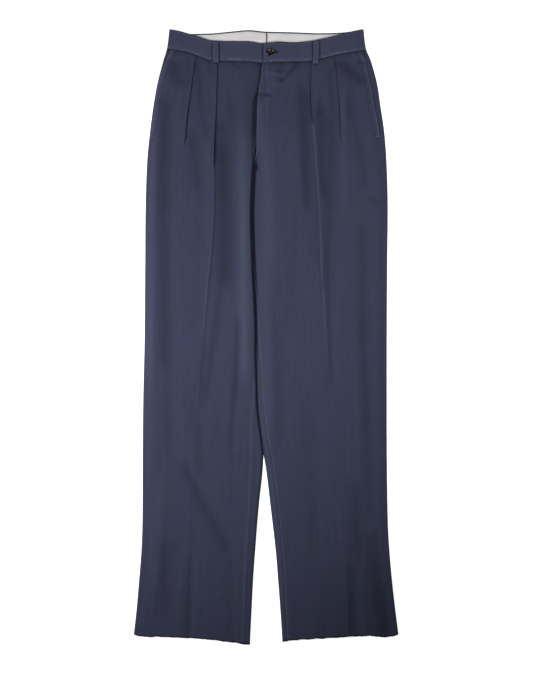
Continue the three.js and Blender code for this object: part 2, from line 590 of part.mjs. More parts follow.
// The highest cloth of the front under a small width, on the waistband or on the panel below its seam
function frontCloth(side, x, down, halfWidth) {
  const across = [-1, -0.5, 0, 0.5, 1].map((share) => {
    const at = x + share * halfWidth;
    const onBand = bandTopAt(side, at, down);
    if (down < read(bandRows, "frontSeam", at, "x") - 2) return onBand;
    const onPanel = frontTop(side, at, down) + pleatLift(side, at, down);
    return Math.max(onBand, onPanel);
  });
  return Math.max(...across);
}

// A belt loop is a strip with both ends turned under and sewn down, standing a little off the band between
function frontLoop(side, { x, topDown, length, tilt }) {
  const sections = [
    { along: 0, off: 0, thick: 2.0 },
    { along: 0.13, off: 0, thick: 2.4 },
    { along: 0.2, off: 0.5, thick: 1.9 },
    { along: 0.35, off: 1.1, thick: 1.3 },
    { along: 0.6, off: 1.1, thick: 1.3 },
    { along: 0.76, off: 0.6, thick: 1.6 },
    { along: 0.86, off: 0, thick: 2.4 },
    { along: 1, off: 0, thick: 2.0 },
  ];
  const heights = sections.map(({ along }) => frontCloth(side, x, topDown + along * length, loopWidth / 2));
  const steady = Math.max(...heights.slice(-4));
  const rows = sections.map(({ along, off, thick }, k) => {
    const down = topDown + along * length;
    const base = seamGap + off + (along > 0.7 ? steady : heights[k]);
    const middle = x + tilt * (along - 0.5);
    const across = [-0.5, -0.46, 0, 0.46, 0.5];
    const crown = [-0.35, 0, 0.1, 0, -0.35];
    return {
      upper: across.map((share, j) => place(middle + share * loopWidth, down, base + thick + crown[j])),
      lower: across.map((share) => place(middle + share * loopWidth, down, base)),
    };
  });
  return clothWall(
    "belt_loop_front_" + side,
    rows.map(({ upper }) => upper),
    rows.map(({ lower }) => lower),
    materials.twill,
  );
}

// A loop laid flat under the back of the waistband
function flatLoop(name, x) {
  const length = bandHeight + 4;
  const topDown = read(bandRows, "backEdge", x, "x") + 0.6;
  const thickness = bandLift - seamGap;
  const outline = new THREE.Shape();
  const corner = 1.2;
  outline.moveTo(-loopWidth / 2 + corner, 0);
  outline.lineTo(loopWidth / 2 - corner, 0);
  outline.quadraticCurveTo(loopWidth / 2, 0, loopWidth / 2, -corner);
  outline.lineTo(loopWidth / 2, corner - length);
  outline.quadraticCurveTo(loopWidth / 2, -length, loopWidth / 2 - corner, -length);
  outline.lineTo(-loopWidth / 2 + corner, -length);
  outline.quadraticCurveTo(-loopWidth / 2, -length, -loopWidth / 2, corner - length);
  outline.lineTo(-loopWidth / 2, -corner);
  outline.quadraticCurveTo(-loopWidth / 2, 0, -loopWidth / 2 + corner, 0);
  const geometry = new THREE.ExtrudeGeometry(outline, { depth: thickness, bevelEnabled: false, curveSegments: 3 });
  const mesh = new THREE.Mesh(geometry, materials.twill);
  mesh.name = name;
  mesh.position.set(x, garmentLength / 2 - topDown, 0);
  return mesh;
}

function toSolid(geometry) {
  const bare = geometry.clone();
  bare.deleteAttribute("normal");
  bare.deleteAttribute("uv");
  const merged = mergeVertices(bare, 1e-4);
  return new wasm.Manifold(
    new wasm.Mesh({
      numProp: 3,
      vertProperties: new Float32Array(merged.attributes.position.array),
      triVerts: new Uint32Array(merged.index.array),
    }),
  );
}

function fromSolid(solid) {
  const made = solid.getMesh();
  const geometry = new THREE.BufferGeometry();
  geometry.setAttribute("position", new THREE.BufferAttribute(new Float32Array(made.vertProperties), 3));
  geometry.setIndex(new THREE.BufferAttribute(new Uint32Array(made.triVerts), 1));
  geometry.computeVertexNormals();
  return geometry;
}

// A four-hole button with a raised rim round a dished middle
function waistButton() {
  const { radius, thickness, holeRadius, holeSpacing } = button;
  const profile = [
    [0, 0],
    [radius - 1.6, 0],
    [radius - 0.4, 0.8],
    [radius, 1.8],
    [radius - 0.5, 2.8],
    [radius - 1.4, thickness],
    [radius - 2.4, 2.9],
    [radius - 3.0, 2.2],
    [0, 2.0],
  ];
  const body = new THREE.LatheGeometry(
    profile.map(([out, height]) => new THREE.Vector2(out, height)),
    32,
  );
  let solid = toSolid(body);
  for (let k = 0; k < 4; k++) {
    const angle = (Math.PI / 2) * (k + 0.5);
    const away = holeSpacing * Math.SQRT2;
    const drill = new THREE.CylinderGeometry(holeRadius, holeRadius, 2 * thickness, 12);
    drill.translate(away * Math.cos(angle), 0, away * Math.sin(angle));
    solid = solid.subtract(toSolid(drill));
  }
  const mesh = new THREE.Mesh(fromSolid(solid), materials.horn);
  mesh.name = "waist_button";
  mesh.rotation.x = Math.PI / 2;
  mesh.position.set(button.x, garmentLength / 2 - button.down, bandTop + bandStepUp.rise + seamGap);
  return mesh;
}

const chinos = new THREE.Group();
chinos.name = "chinos";

const legs = new THREE.Group();
const waist = new THREE.Group();
for (const side of ["right", "left"]) {
  legs.add(frontPanel(side), backPanel(side), pocketFacing(side));
  waist.add(frontBand(side), backBand(side), curtain(side));
}
waist.add(
  frontLoop("right", { x: -98, topDown: 24, length: 41, tilt: 0.4 }),
  frontLoop("left", { x: 97, topDown: 23.6, length: 43.5, tilt: -1.6 }),
  flatLoop("belt_loop_side_right", -150),
  flatLoop("belt_loop_back", 2),
  flatLoop("belt_loop_side_left", 153),
  waistButton(),
);
chinos.add(legs, waist);

export default chinos;
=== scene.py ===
import math
import random

import bmesh
import bpy
from mathutils import Matrix, Vector, noise
from mathutils.bvhtree import BVHTree


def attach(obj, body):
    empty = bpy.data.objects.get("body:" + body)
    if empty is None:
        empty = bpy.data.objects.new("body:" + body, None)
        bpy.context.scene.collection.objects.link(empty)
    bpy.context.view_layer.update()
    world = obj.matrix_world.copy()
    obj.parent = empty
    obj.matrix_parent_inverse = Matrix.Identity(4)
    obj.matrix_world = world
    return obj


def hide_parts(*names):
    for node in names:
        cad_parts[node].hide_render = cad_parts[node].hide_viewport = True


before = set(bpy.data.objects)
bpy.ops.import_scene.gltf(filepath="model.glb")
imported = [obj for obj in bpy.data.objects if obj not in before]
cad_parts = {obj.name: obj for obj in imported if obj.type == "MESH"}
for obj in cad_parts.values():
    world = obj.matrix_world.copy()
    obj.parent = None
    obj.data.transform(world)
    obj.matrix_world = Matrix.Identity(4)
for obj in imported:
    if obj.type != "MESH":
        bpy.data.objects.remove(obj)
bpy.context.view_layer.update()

scene = bpy.context.scene
random.seed(11)
mm = 0.001
print("frame loaded,", len(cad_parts), "solids")

# Sizes are millimetres from here on. down is measured from the waistband's top corners, x from the middle.
chinos = {
    "length": 1198.0,
    "edgeRadius": 2.7,      # how tightly the cloth turns over at the sides and inner legs
    "sideShoulder": 22.0,   # width over which the front rises from the side
    "innerShoulder": {"right": 5.0, "left": 14.0},
    "bandHeight": 37.5,
    "bandLift": 1.5,
    "liftFade": (62.0, 135.0),
    "crotch": (224.0, 264.0),
    "clothThick": 0.55,
}
sides = ("right", "left")
inwardOf = {"right": 1, "left": -1}


def table(names, *rows):
    return [dict(zip(names.split(), row)) for row in rows]


# X of the side folds of the right and left leg
sideFolds = table(
    "down right left",
    (0, -188.2, 190.1), (37, -193, 195), (62, -200.4, 204.8), (107, -212, 217), (150, -219.5, 223.4),
    (195, -225.4, 230.1), (253, -231.4, 234.8), (341, -234.6, 237.4), (458, -235.6, 236.3),
    (605, -236.8, 235.5), (722, -239.4, 235.4), (838, -240.4, 235.7), (955, -240.9, 237.4),
    (1014, -242.9, 240.5), (1072, -247.4, 245.6), (1131, -252.5, 252.2), (1190, -259.2, 259.8),
)

# X where the fronts and backs end in the middle, and how far the backs wrap over onto the front of the leg
middleEdges = table(
    "down rightFront leftFront rightBack leftBack rightWrap leftWrap",
    (40, 9, -6, 1.8, 2.2, 0, 0), (91, 8, -10, -1.2, -0.8, 0, 0), (121, 6, -14.6, -4.7, -4.3, 0, 0),
    (144, 3, -16.9, -8.2, -7.8, 0, 0), (183, -6, -17.8, -14.9, -14.5, 0, 0),
    (205, -14, -18.6, -19.2, -18.8, 0, 0), (222, -19.4, -18.2, -21.4, -20.8, 0, 0),
    (240, -21.8, -19.4, -22.4, -22, 0, 0), (256, -22, -22.6, -22, -22.6, 0, 0),
    (312, -25.1, -25.9, -25.1, -25.9, 0, 0), (370, -26.4, -27.2, -26.4, -27.2, 0, 0),
    (440, -24.3, -25.1, -24.3, -25.1, 0, 0.5), (558, -19.3, -20.1, -19.3, -20.1, 0, 5),
    (655, -18.5, -19.3, -18.5, -19.3, 3, 11), (720, -16.6, -17.4, -16.6, -17.4, 10, 13),
    (760, -13.2, -14, -13.2, -14, 18, 14), (800, -7.6, -8.8, -7.6, -8.8, 24, 15),
    (826, -5, -5.4, -5, -5.4, 26, 16), (840, -5.4, -2.2, -5.4, -2.2, 26, 16),
    (868, -7.2, 1.6, -7.2, 1.6, 26, 16), (926, -13.7, 8.4, -13.7, 8.4, 23, 16),
    (1014, -20.9, 18.7, -20.9, 18.7, 21, 15), (1072, -25, 23.4, -25, 23.4, 20, 14),
    (1131, -28, 27.9, -28, 27.9, 19, 12), (1190, -31, 31.7, -31, 31.7, 18, 11),
)

# The two pleats of each front; the inner ones run on to the hem as pressed creases
pleatLines = table(
    "down rightOuter rightInner leftInner leftOuter",
    (40, -136, -94.8, 88.4, 133.6), (97, -143.4, -95.8, 88, 139), (136, -148.8, -96.6, 87.6, 142.6),
    (183, -154.9, -98.6, 91, 144.6), (234, -158, -101, 96.4, 146.8), (331, -164, -101, 103, 152.4),
    (411, -168.6, -104.5, 107, 158), (493, -172, -112.6, 110.5, 163.4), (620, -177, -122.9, 119.2, 171),
    (838, -188, -140, 138, 184), (1112, -201, -153.6, 157, 201), (1190, -206, -154.6, 158.4, 206),
)

# How high the front lies, how far the pleats are still folded, and how high the pressed lines stand
heights = table(
    "down loft outerPleat rightPleat leftPleat pleatRoll rightCrease leftCrease",
    (0, 7.6, 1, 1, 1, 0.46, 0, 0), (62, 7.6, 1, 1, 1, 0.46, 0, 0), (84, 8.6, 0.98, 1, 0.98, 0.52, 0, 0),
    (107, 9.2, 0.9, 0.97, 0.9, 0.55, 0, 0.1), (160, 10, 0.6, 0.86, 0.42, 0.6, 0.2, 0.7),
    (192, 10.3, 0.3, 0.7, 0, 0.66, 0.5, 1.3), (214, 10.4, 0.12, 0.55, 0, 0.7, 0.7, 1.6),
    (240, 10.4, 0, 0.32, 0, 0.72, 1.2, 1.7), (275, 10.3, 0, 0, 0, 0.72, 1.7, 1.7),
    (380, 10, 0, 0, 0, 0.5, 1.8, 1.6), (470, 9.8, 0, 0, 0, 0.3, 1.2, 1), (640, 9.2, 0, 0, 0, 0.3, 0.7, 0.6),
    (838, 8.4, 0, 0, 0, 0.3, 0.2, 0.1), (1000, 7.4, 0, 0, 0, 0.3, 0.3, 0.4),
    (1120, 6.8, 0, 0, 0, 0.3, 0.4, 0.9), (1190, 6.2, 0, 0, 0, 0.3, 0.5, 1),
)

# How far in from the side fold the slanted pocket edges lie
pocketEdges = table(
    "down right left",
    (37, 10.5, 12.5), (62, 6.5, 13.5), (90, 4.2, 15.6), (150, 4, 14.6), (211, 4, 10.8),
)

# How far down the waistband's front edge, front seam and back edge lie at each X
bandCurves = table(
    "x frontEdge frontSeam backEdge",
    (-196, -0.6, 36.5, -0.6), (-188, 0.2, 37.4, 0.2), (-152, 8.6, 44, 8), (-129, 16, 52.5, 7.9),
    (-105, 23.2, 60, 7.2), (-70, 24, 61, 3.9), (-33, 24.6, 62.2, 0.9), (-4, 27.8, 64.4, 3.6),
    (23, 25.2, 62.6, 4.4), (55, 26.6, 62.4, 5.2), (88, 23.4, 61.2, 6.6), (103, 20.4, 57.6, 7),
    (133, 13.4, 50.6, 6.4), (160, 6.8, 44.6, 4.7), (190, 0.2, 39.4, 0.8), (198, -0.8, 38.4, -0.4),
)

# How far down the raw hems end at each X
hemCurve = table(
    "x hem",
    (-260, 1177.2), (-246, 1181.6), (-200, 1182.9), (-144, 1185.4), (-103, 1188.7), (-64, 1193.8),
    (-31, 1198), (0, 1196), (31.7, 1192.4), (50, 1189.4), (95, 1186.6), (144, 1183.6), (203, 1180.9),
    (232, 1183.8), (250, 1181), (260, 1177),
)

# Soft troughs (height under 0) and ridges, each along a straight run; ends fade over its fade
softFolds = table(
    "fromDown fromX toDown toX width height fade",
    # right leg
    (150, -196, 330, -194, 13, -4.2, 50), (330, -196, 640, -190, 14, -3.2, 60),
    (640, -190, 800, -184, 12, -1.6, 70), (235, -80, 470, -76, 17, -5.2, 60),
    (470, -78, 700, -112, 9, -2.2, 50), (230, -44, 640, -40, 12, 3, 80), (580, -52, 700, -56, 6, -2.6, 40),
    (690, -57, 800, -66, 6, -2, 40), (866, -150, 1000, -76, 12, -2.6, 40),
    (1015, -186, 1130, -190, 18, -2, 40), (66, -182, 96, -168, 19, -3.4, 20),
    (78, -130, 200, -117, 6.5, -2.6, 40), (95, -37, 260, -42, 12, -0.8, 60),
    (62, -66, 76, -46, 3.4, -1.6, 8), (66, -50, 90, -30, 4, -0.9, 10), (900, -205, 1060, -214, 10, 1.2, 60),
    (700, -140, 860, -120, 14, -1.2, 60), (1040, -70, 1170, -66, 10, -1.1, 40),
    (150, -66, 235, -72, 10, -2.4, 40), (110, -110, 160, -106, 5, -1, 20),
    (300, -126, 560, -132, 14, -1, 70), (1040, -146, 1180, -150, 9, -1.6, 30),
    (60, -150, 90, -146, 8, -1.5, 12), (60, -112, 84, -106, 7, -1.6, 10),
    (205, -140, 300, -130, 12, -3.2, 30), (300, -68, 420, -68, 10, -2, 50),
    (190, -84, 330, -82, 14, -3.6, 40), (620, -122, 720, -120, 12, -1.6, 40),
    # left leg
    (300, 124, 480, 122, 11, -3.6, 60), (470, 123, 660, 128, 7, -2.2, 60),
    (400, 190, 600, 192, 11, -2.4, 60), (560, 194, 760, 200, 12, -2.8, 60),
    (760, 200, 930, 206, 13, -2, 70), (250, 6, 760, 8, 13, 1.8, 90), (130, 72, 300, 82, 11, -2.6, 50),
    (175, 126, 330, 127, 14, -3.4, 50), (66, 150, 94, 186, 18, -3.6, 20), (64, 62, 97, 30, 4.2, -4.6, 10),
    (124, -12, 126, 6, 5, -5.2, 6), (66, 31, 82, 30, 7, -3.2, 7), (900, 178, 1010, 184, 20, -2.2, 50),
    (150, 168, 290, 196, 9, -2, 40), (328, 208, 336, 226, 7, -2, 12), (1000, 212, 1180, 236, 18, -3.4, 50),
    (1110, 232, 1190, 246, 10, -2.4, 30), (520, 20, 760, 30, 16, -1.3, 80),
    (760, 84, 980, 96, 18, -1.2, 80), (92, 12, 170, 0, 4, 0.6, 30), (68, 51, 88, 35, 2.6, 2.2, 8),
    (66, 4, 86, 3, 2.4, 2, 8), (84, 10, 85, 21, 2.2, 2.6, 5), (86, 16, 105, 15, 1.9, 2.6, 6),
    (87, 26, 88, 38, 3, 2.2, 5), (104, 30, 112, 8, 3.5, 0.8, 10), (150, -9, 236, -5, 8, 2, 22),
    (146, 2, 226, 3, 2.2, 0.8, 14), (150, -12, 220, -11, 1.8, 1.2, 14), (130, 76, 330, 84, 12, -4.4, 40),
    (130, 151, 320, 155, 6, 1.3, 40), (160, 110, 310, 114, 12, -4, 40), (290, 108, 430, 112, 22, -2.2, 50),
    (62, 180, 64, 198, 3.5, -2.6, 6), (49, 172, 52, 194, 4, 1.6, 6), (258, -19, 276, -14, 4, -1.6, 6),
    (68, 48, 78, 40, 3, 0.9, 8), (80, 128, 150, 132, 6, -2.2, 24), (80, 84, 150, 84, 5, -1.6, 30),
    (940, 186, 950, 204, 9, -1.6, 20), (1060, 170, 1185, 172, 12, -2.2, 40),
    (360, 60, 560, 52, 18, -0.9, 70),
)


def slopesOf(xs, ys):
    last = len(xs) - 1
    return [
        (ys[min(k + 1, last)] - ys[max(k - 1, 0)]) / (xs[min(k + 1, last)] - xs[max(k - 1, 0)])
        for k in range(len(xs))
    ]


def curve(rows, column, by="down"):
    xs = [row[by] for row in rows]
    ys = [row[column] for row in rows]
    slopes = slopesOf(xs, ys)

    def readAt(at):
        if at <= xs[0]:
            return ys[0]
        if at >= xs[-1]:
            return ys[-1]
        b = next(k for k, x in enumerate(xs) if x > at)
        a = b - 1
        span = xs[b] - xs[a]
        t = (at - xs[a]) / span
        rise = ys[b] - ys[a]
        start, end = slopes[a] * span, slopes[b] * span
        return ys[a] + t * (start + t * (3 * rise - 2 * start - end + t * (start + end - 2 * rise)))

    return readAt


def sideCurves(rows, name=""):
    return {side: curve(rows, side + name) for side in sides}


sideAt = sideCurves(sideFolds)
frontAt = sideCurves(middleEdges, "Front")
backAt = sideCurves(middleEdges, "Back")
wrapAt = sideCurves(middleEdges, "Wrap")
pocketIn = sideCurves(pocketEdges)
creaseAt = sideCurves(heights, "Crease")
pleatAt = {side + which: curve(pleatLines, side + which) for side in sides for which in ("Outer", "Inner")}
pleatFolded = {side + "Inner": curve(heights, side + "Pleat") for side in sides}
pleatFolded.update({side + "Outer": curve(heights, "outerPleat") for side in sides})
pleatRoll = curve(heights, "pleatRoll")
loftAt = curve(heights, "loft")
frontEdgeAt = curve(bandCurves, "frontEdge", "x")
frontSeamAt = curve(bandCurves, "frontSeam", "x")
backEdgeAt = curve(bandCurves, "backEdge", "x")
hemAt = curve(hemCurve, "hem", "x")


def lerp(a, b, t):
    return a + (b - a) * t


def clamp(value, low, high):
    return min(max(value, low), high)


def smooth(t):
    t = clamp(t, 0.0, 1.0)
    return t * t * (3 - 2 * t)


def ease(at, start, length):
    # 0 up to the start, 1 from the end of the length on
    return smooth((at - start) / length)


def bell(distance, width):
    return math.exp(-((distance / width) ** 2))


def marks(distance, *spots):
    # bumps or dips along a distance, each a (strength, place, width)
    return sum(strength * bell(distance - place, wide) for strength, place, wide in spots)


def rumple(x, down, high, wide, long, place):
    return high * noise.noise(Vector((x / wide, down / long, place)))


def turnAt(down):
    # 0 above the crotch, 1 where the inner legs turn over with a round edge
    low, high = chinos["crotch"]
    return ease(down, low, high - low)


def liftAt(down):
    low, high = chinos["liftFade"]
    return chinos["bandLift"] * (1 - ease(down, low, high - low))


def turnedEdge(run, turn):
    # inset from the edge and drop below the upper face, at a run along the cloth
    radius = chinos["edgeRadius"]
    angle = math.pi / 2 * turn
    arc = radius * angle
    lean = angle * (1 - run / arc) if run < arc else 0.0
    inset = radius * (math.sin(angle) - math.sin(lean)) + max(0.0, run - arc)
    return inset, radius * (1 - math.cos(lean))


def evenly(start, end, count):
    return [lerp(start, end, k / (count - 1)) for k in range(count)]


def edgeRuns(length, count, power):
    # runs in from an edge, closer together where the cloth turns
    return [length * t**power for t in evenly(0.0, 1.0, count)]


foldForm = {"reach": 3.0, "endWidth": 0.55}     # in widths of a fold, and as a share of its fade


def foldsAt(x, down):
    low, high = 0.0, 0.0
    for fold in softFolds:
        if not fold["fromDown"] - fold["fade"] < down < fold["toDown"] + fold["fade"]:
            continue
        fromX, fromDown = fold["fromX"], fold["fromDown"]
        alongX, alongDown = fold["toX"] - fromX, fold["toDown"] - fromDown
        share = ((x - fromX) * alongX + (down - fromDown) * alongDown) / (alongX**2 + alongDown**2)
        share = clamp(share, 0.0, 1.0)
        sideways = x - fromX - share * alongX
        past = down - fromDown - share * alongDown
        if abs(sideways) < foldForm["reach"] * fold["width"]:
            ends = bell(past, foldForm["endWidth"] * fold["fade"])
            height = fold["height"] * bell(sideways, fold["width"]) * ends
            low, high = (low, high + height**3) if height > 0 else (low - height**3, high)
    return high ** (1 / 3) - low ** (1 / 3)     # folds that meet join without doubling


creaseForm = {"softReach": 13.0, "steepReach": 3.2, "trough": 0.25, "troughReach": 9.0}


def creaseShape(side, x, down):
    # a pressed line: soft on the side-seam side, steep with a shallow trough on the fly side
    kit = creaseForm
    away = inwardOf[side] * (x - pleatAt[side + "Inner"](down))
    high = creaseAt[side](down)
    if away < 0:
        return high * math.exp(away / kit["softReach"])
    steep = (1 + kit["trough"]) * math.exp(-away / kit["steepReach"])
    return high * (steep - kit["trough"] * math.exp(-away / kit["troughReach"]))


fly = {"above": 16.0, "over": 0.7, "overReach": 34.0, "under": 2.4, "underFrom": 30.0, "underReach": 26.0}


def flyStep(side, x, down):
    # the left front lies over the right one down to the crotch
    shut = 1 - turnAt(down + fly["above"])
    past = x - frontAt["left"](down)
    if side == "left":
        return fly["over"] * shut * (1 - smooth(past / fly["overReach"]))
    return -fly["under"] * shut * ease(past, -fly["underFrom"], fly["underReach"])


frontForm = {
    "rumples": ((0.55, 26, 150, 3.1), (0.3, 11, 60, 8.7)),   # height, width, length, place in the noise
    "bandSlope": 1.2,       # how far the cloth sinks towards the waistband's seam
    "bandReach": 14.0,
    "bandDip": (1.1, 0.0, 2.6),
}


def frontTop(side, x, down):
    kit = frontForm
    turnover = 2 * chinos["edgeRadius"]
    fromSide = smooth(abs(x - sideAt[side](down)) / chinos["sideShoulder"])
    inward = inwardOf[side] * (frontAt[side](down) - x)
    fromInner = 1 - turnAt(down) * (1 - smooth(inward / chinos["innerShoulder"][side]))
    full = loftAt(down) - turnover + foldsAt(x, down) + creaseShape(side, x, down)
    full += sum(rumple(x, down, *size) for size in kit["rumples"])
    toBand = max(0.0, down - frontSeamAt(x))
    seamDip = kit["bandSlope"] * (1 - smooth(toBand / kit["bandReach"])) + marks(toBand, kit["bandDip"])
    return liftAt(down) + turnover + full * fromSide * fromInner + flyStep(side, x, down) - seamDip


def point(x, down, z):
    return Vector((x * mm, (chinos["length"] / 2 - down) * mm, z * mm))


# Materials
twillLook = {
    "deep": (0.023, 0.0275, 0.052, 1), "mid": (0.0362, 0.0428, 0.0815, 1),
    # the paler colour after violet is for rubbed wear and painted highlights; shade is the colour of painted
    # shade
    "violet": (0.0397, 0.0408, 0.0895, 1), "wornAndPaintedLight": (0.092, 0.104, 0.165, 1),
    "shade": (0.001, 0.002, 0.0085, 1), "twillPitch": 0.00085, "twillAngle": 62, "yarnRelief": 0.45,
    "bump": 0.00016,
}
curtainLook = {"dull": (0.68, 0.66, 0.66, 1), "pale": (0.76, 0.735, 0.73, 1), "gap": (0.54, 0.53, 0.53, 1)}
hornStops = (
    (0.40, (0.003, 0.002, 0.0015, 1)),
    (0.56, (0.010, 0.005, 0.002, 1)),
    (0.64, (0.07, 0.026, 0.006, 1)),
    (0.78, (0.34, 0.15, 0.035, 1)),
)


def newMaterial(name):
    material = bpy.data.materials.new(name)
    material.use_nodes = True
    material.node_tree.nodes.clear()
    return material, material.node_tree


def add(tree, kind, inputs=(), **settings):
    # a node with its inputs linked or set
    node = tree.nodes.new(kind)
    for key, value in settings.items():
        setattr(node, key, value)
    for key, value in dict(inputs).items():
        if isinstance(value, bpy.types.NodeSocket):
            tree.links.new(value, node.inputs[key])
        else:
            node.inputs[key].default_value = value
    return node


def mixColour(tree, factor, a, b):
    return add(tree, "ShaderNodeMix", {0: factor, 6: a, 7: b}, data_type="RGBA").outputs[2]


def rampOf(tree, source, *stops):
    ramp = add(tree, "ShaderNodeValToRGB", {"Fac": source})
    elements = ramp.color_ramp.elements
    while len(elements) < len(stops):
        elements.new(0.5)
    for element, (position, colour) in zip(elements, stops):
        element.position = position
        element.color = colour
    return ramp.outputs["Color"]


def greyRamp(tree, source, start, startGrey, end, endGrey):
    stops = [(place, (value, value, value, 1)) for place, value in ((start, startGrey), (end, endGrey))]
    return rampOf(tree, source, *stops)


def noiseOf(tree, scale, detail, stretch=None, **more):
    # noise through space, or along the cloth where it's stretched
    if stretch:
        clothUv = add(tree, "ShaderNodeUVMap", uv_map="cloth").outputs["UV"]
        vector = add(tree, "ShaderNodeMapping", {"Vector": clothUv, "Scale": (*stretch, 1)}).outputs[0]
    else:
        vector = add(tree, "ShaderNodeTexCoord").outputs["Object"]
    inputs = {"Vector": vector, "Scale": scale, "Detail": detail, **more}
    return add(tree, "ShaderNodeTexNoise", inputs).outputs["Fac"]


def multiply(tree, a, b, **settings):
    return add(tree, "ShaderNodeMath", {0: a, 1: b}, operation="MULTIPLY", **settings).outputs[0]


def bumpOf(tree, height, strength, distance):
    inputs = {"Height": height, "Strength": strength, "Distance": distance}
    return add(tree, "ShaderNodeBump", inputs).outputs[0]


def finish(tree, inputs):
    shader = add(tree, "ShaderNodeBsdfPrincipled", inputs)
    add(tree, "ShaderNodeOutputMaterial", {"Surface": shader.outputs[0]})


def makeTwill():
    material, tree = newMaterial("navyTwill")
    look = twillLook
    clothUv = add(tree, "ShaderNodeUVMap", uv_map="cloth").outputs["UV"]
    angle = math.radians(look["twillAngle"])
    turned = add(tree, "ShaderNodeMapping", {"Vector": clothUv, "Rotation": (0, 0, angle)})
    twill = add(
        tree,
        "ShaderNodeTexWave",
        {"Vector": turned.outputs[0], "Scale": 0.3142 / look["twillPitch"], "Distortion": 0.6, "Detail": 1.0,
         "Detail Scale": 3.0},
        wave_type="BANDS", bands_direction="X", wave_profile="SIN",
    ).outputs["Fac"]
    yarn = noiseOf(tree, 1.0, 2.0, (1500, 420))
    streaks = noiseOf(tree, 1.0, 3.0, (260, 5.5), Roughness=0.6)
    patches = noiseOf(tree, 15.0, 3.0)
    mottle = noiseOf(tree, 1.0, 2.0, (120, 34), Roughness=0.6)
    rub = noiseOf(tree, 420.0, 2.0)
    # the wear attribute also carries painted light: above 0 rubbed wear and painted highlights, below 0
    # painted shade
    wornAndPaintedLight = add(tree, "ShaderNodeAttribute", attribute_name="wearAndPaintedLight").outputs["Fac"]

    colour = mixColour(tree, greyRamp(tree, patches, 0.38, 0, 0.62, 1), look["mid"], look["violet"])
    for source, stops in (
        (mottle, (0.36, 0.26, 0.6, 0)),
        (streaks, (0.3, 0.42, 0.7, 0)),
        (twill, (0.25, 0.42, 0.75, 0)),
    ):
        colour = mixColour(tree, greyRamp(tree, source, *stops), colour, look["deep"])
    # paler where the cloth is rubbed and where highlights are painted
    rubAndPaintedLight = multiply(tree, wornAndPaintedLight, greyRamp(tree, rub, 0.3, 0.35, 0.7, 1), use_clamp=True)
    colour = mixColour(tree, rubAndPaintedLight, colour, look["wornAndPaintedLight"])
    # painted shade: below 0 the colour goes towards the shade colour
    paintedShade = multiply(tree, wornAndPaintedLight, -1.0, use_clamp=True)
    colour = mixColour(tree, paintedShade, colour, look["shade"])

    height = multiply(tree, yarn, look["yarnRelief"])
    height = add(tree, "ShaderNodeMath", {0: twill, 1: height}, operation="ADD").outputs[0]
    finish(tree, {
        "Base Color": colour, "Roughness": 0.86, "Normal": bumpOf(tree, height, 0.8, look["bump"]),
        "Sheen Weight": 0.22, "Sheen Roughness": 0.45, "Sheen Tint": (0.55, 0.6, 0.8, 1),
        "Specular IOR Level": 0.25,
    })
    return material


def makeCurtainCotton():
    material, tree = newMaterial("paleCurtain")
    look = curtainLook
    weave = noiseOf(tree, 1.0, 2.0, (900, 1400))
    mottle = noiseOf(tree, 30.0, 3.0)
    colour = mixColour(tree, greyRamp(tree, mottle, 0.35, 0, 0.7, 1), look["dull"], look["pale"])
    colour = mixColour(tree, greyRamp(tree, weave, 0.35, 0.25, 0.6, 0), colour, look["gap"])
    finish(tree, {"Base Color": colour, "Roughness": 0.9, "Normal": bumpOf(tree, weave, 0.5, 0.0001),
                  "Sheen Weight": 0.1})
    return material


def makeThread(name, light, dark):
    material, tree = newMaterial(name)
    twist = noiseOf(tree, 1800.0, 1.0)
    colour = mixColour(tree, greyRamp(tree, twist, 0.35, 0, 0.65, 1), dark, light)
    finish(tree, {"Base Color": colour, "Roughness": 0.6, "Normal": bumpOf(tree, twist, 0.4, 0.00008),
                  "Sheen Weight": 0.3})
    return material


def makeHorn():
    material, tree = newMaterial("brownHorn")
    colour = rampOf(tree, noiseOf(tree, 170.0, 3.0, Distortion=2.2), *hornStops)
    finish(tree, {"Base Color": colour, "Roughness": 0.3, "Coat Weight": 0.35, "Coat Roughness": 0.16,
                  "Specular IOR Level": 0.45})
    return material


navyTwill = makeTwill()
paleCurtain = makeCurtainCotton()
navyThread = makeThread("navyThread", (0.115, 0.125, 0.195, 1), (0.06, 0.066, 0.11, 1))
darkThread = makeThread("darkThread", (0.03, 0.032, 0.05, 1), (0.014, 0.015, 0.026, 1))
# near black, for the painted shade inside the buttonhole
paintedHoleShade = makeThread("paintedHoleShade", (0.004, 0.004, 0.006, 1), (0.002, 0.002, 0.003, 1))
brownHorn = makeHorn()
print("materials made")

surfaces = {}       # of each cloth piece, for what is laid on it


def meshOf(name, bm):
    mesh = bpy.data.meshes.new(name)
    bm.to_mesh(mesh)
    bm.free()
    return mesh


def linked(name, data):
    made = bpy.data.objects.new(name, data)
    scene.collection.objects.link(made)
    return made


def newPiece(name, bm, material):
    mesh = meshOf(name, bm)
    for polygon in mesh.polygons:
        polygon.use_smooth = True
    mesh.materials.append(material)
    piece = linked(name, mesh)
    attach(piece, "root")
    return piece


def softenEdges(piece, width):
    bevel = piece.modifiers.new("edges", "BEVEL")
    bevel.width = width * mm
    bevel.segments = 3
    bevel.profile = 0.5
    bevel.limit_method = "ANGLE"
    bevel.angle_limit = math.radians(50)
    bevel.affect = "EDGES"


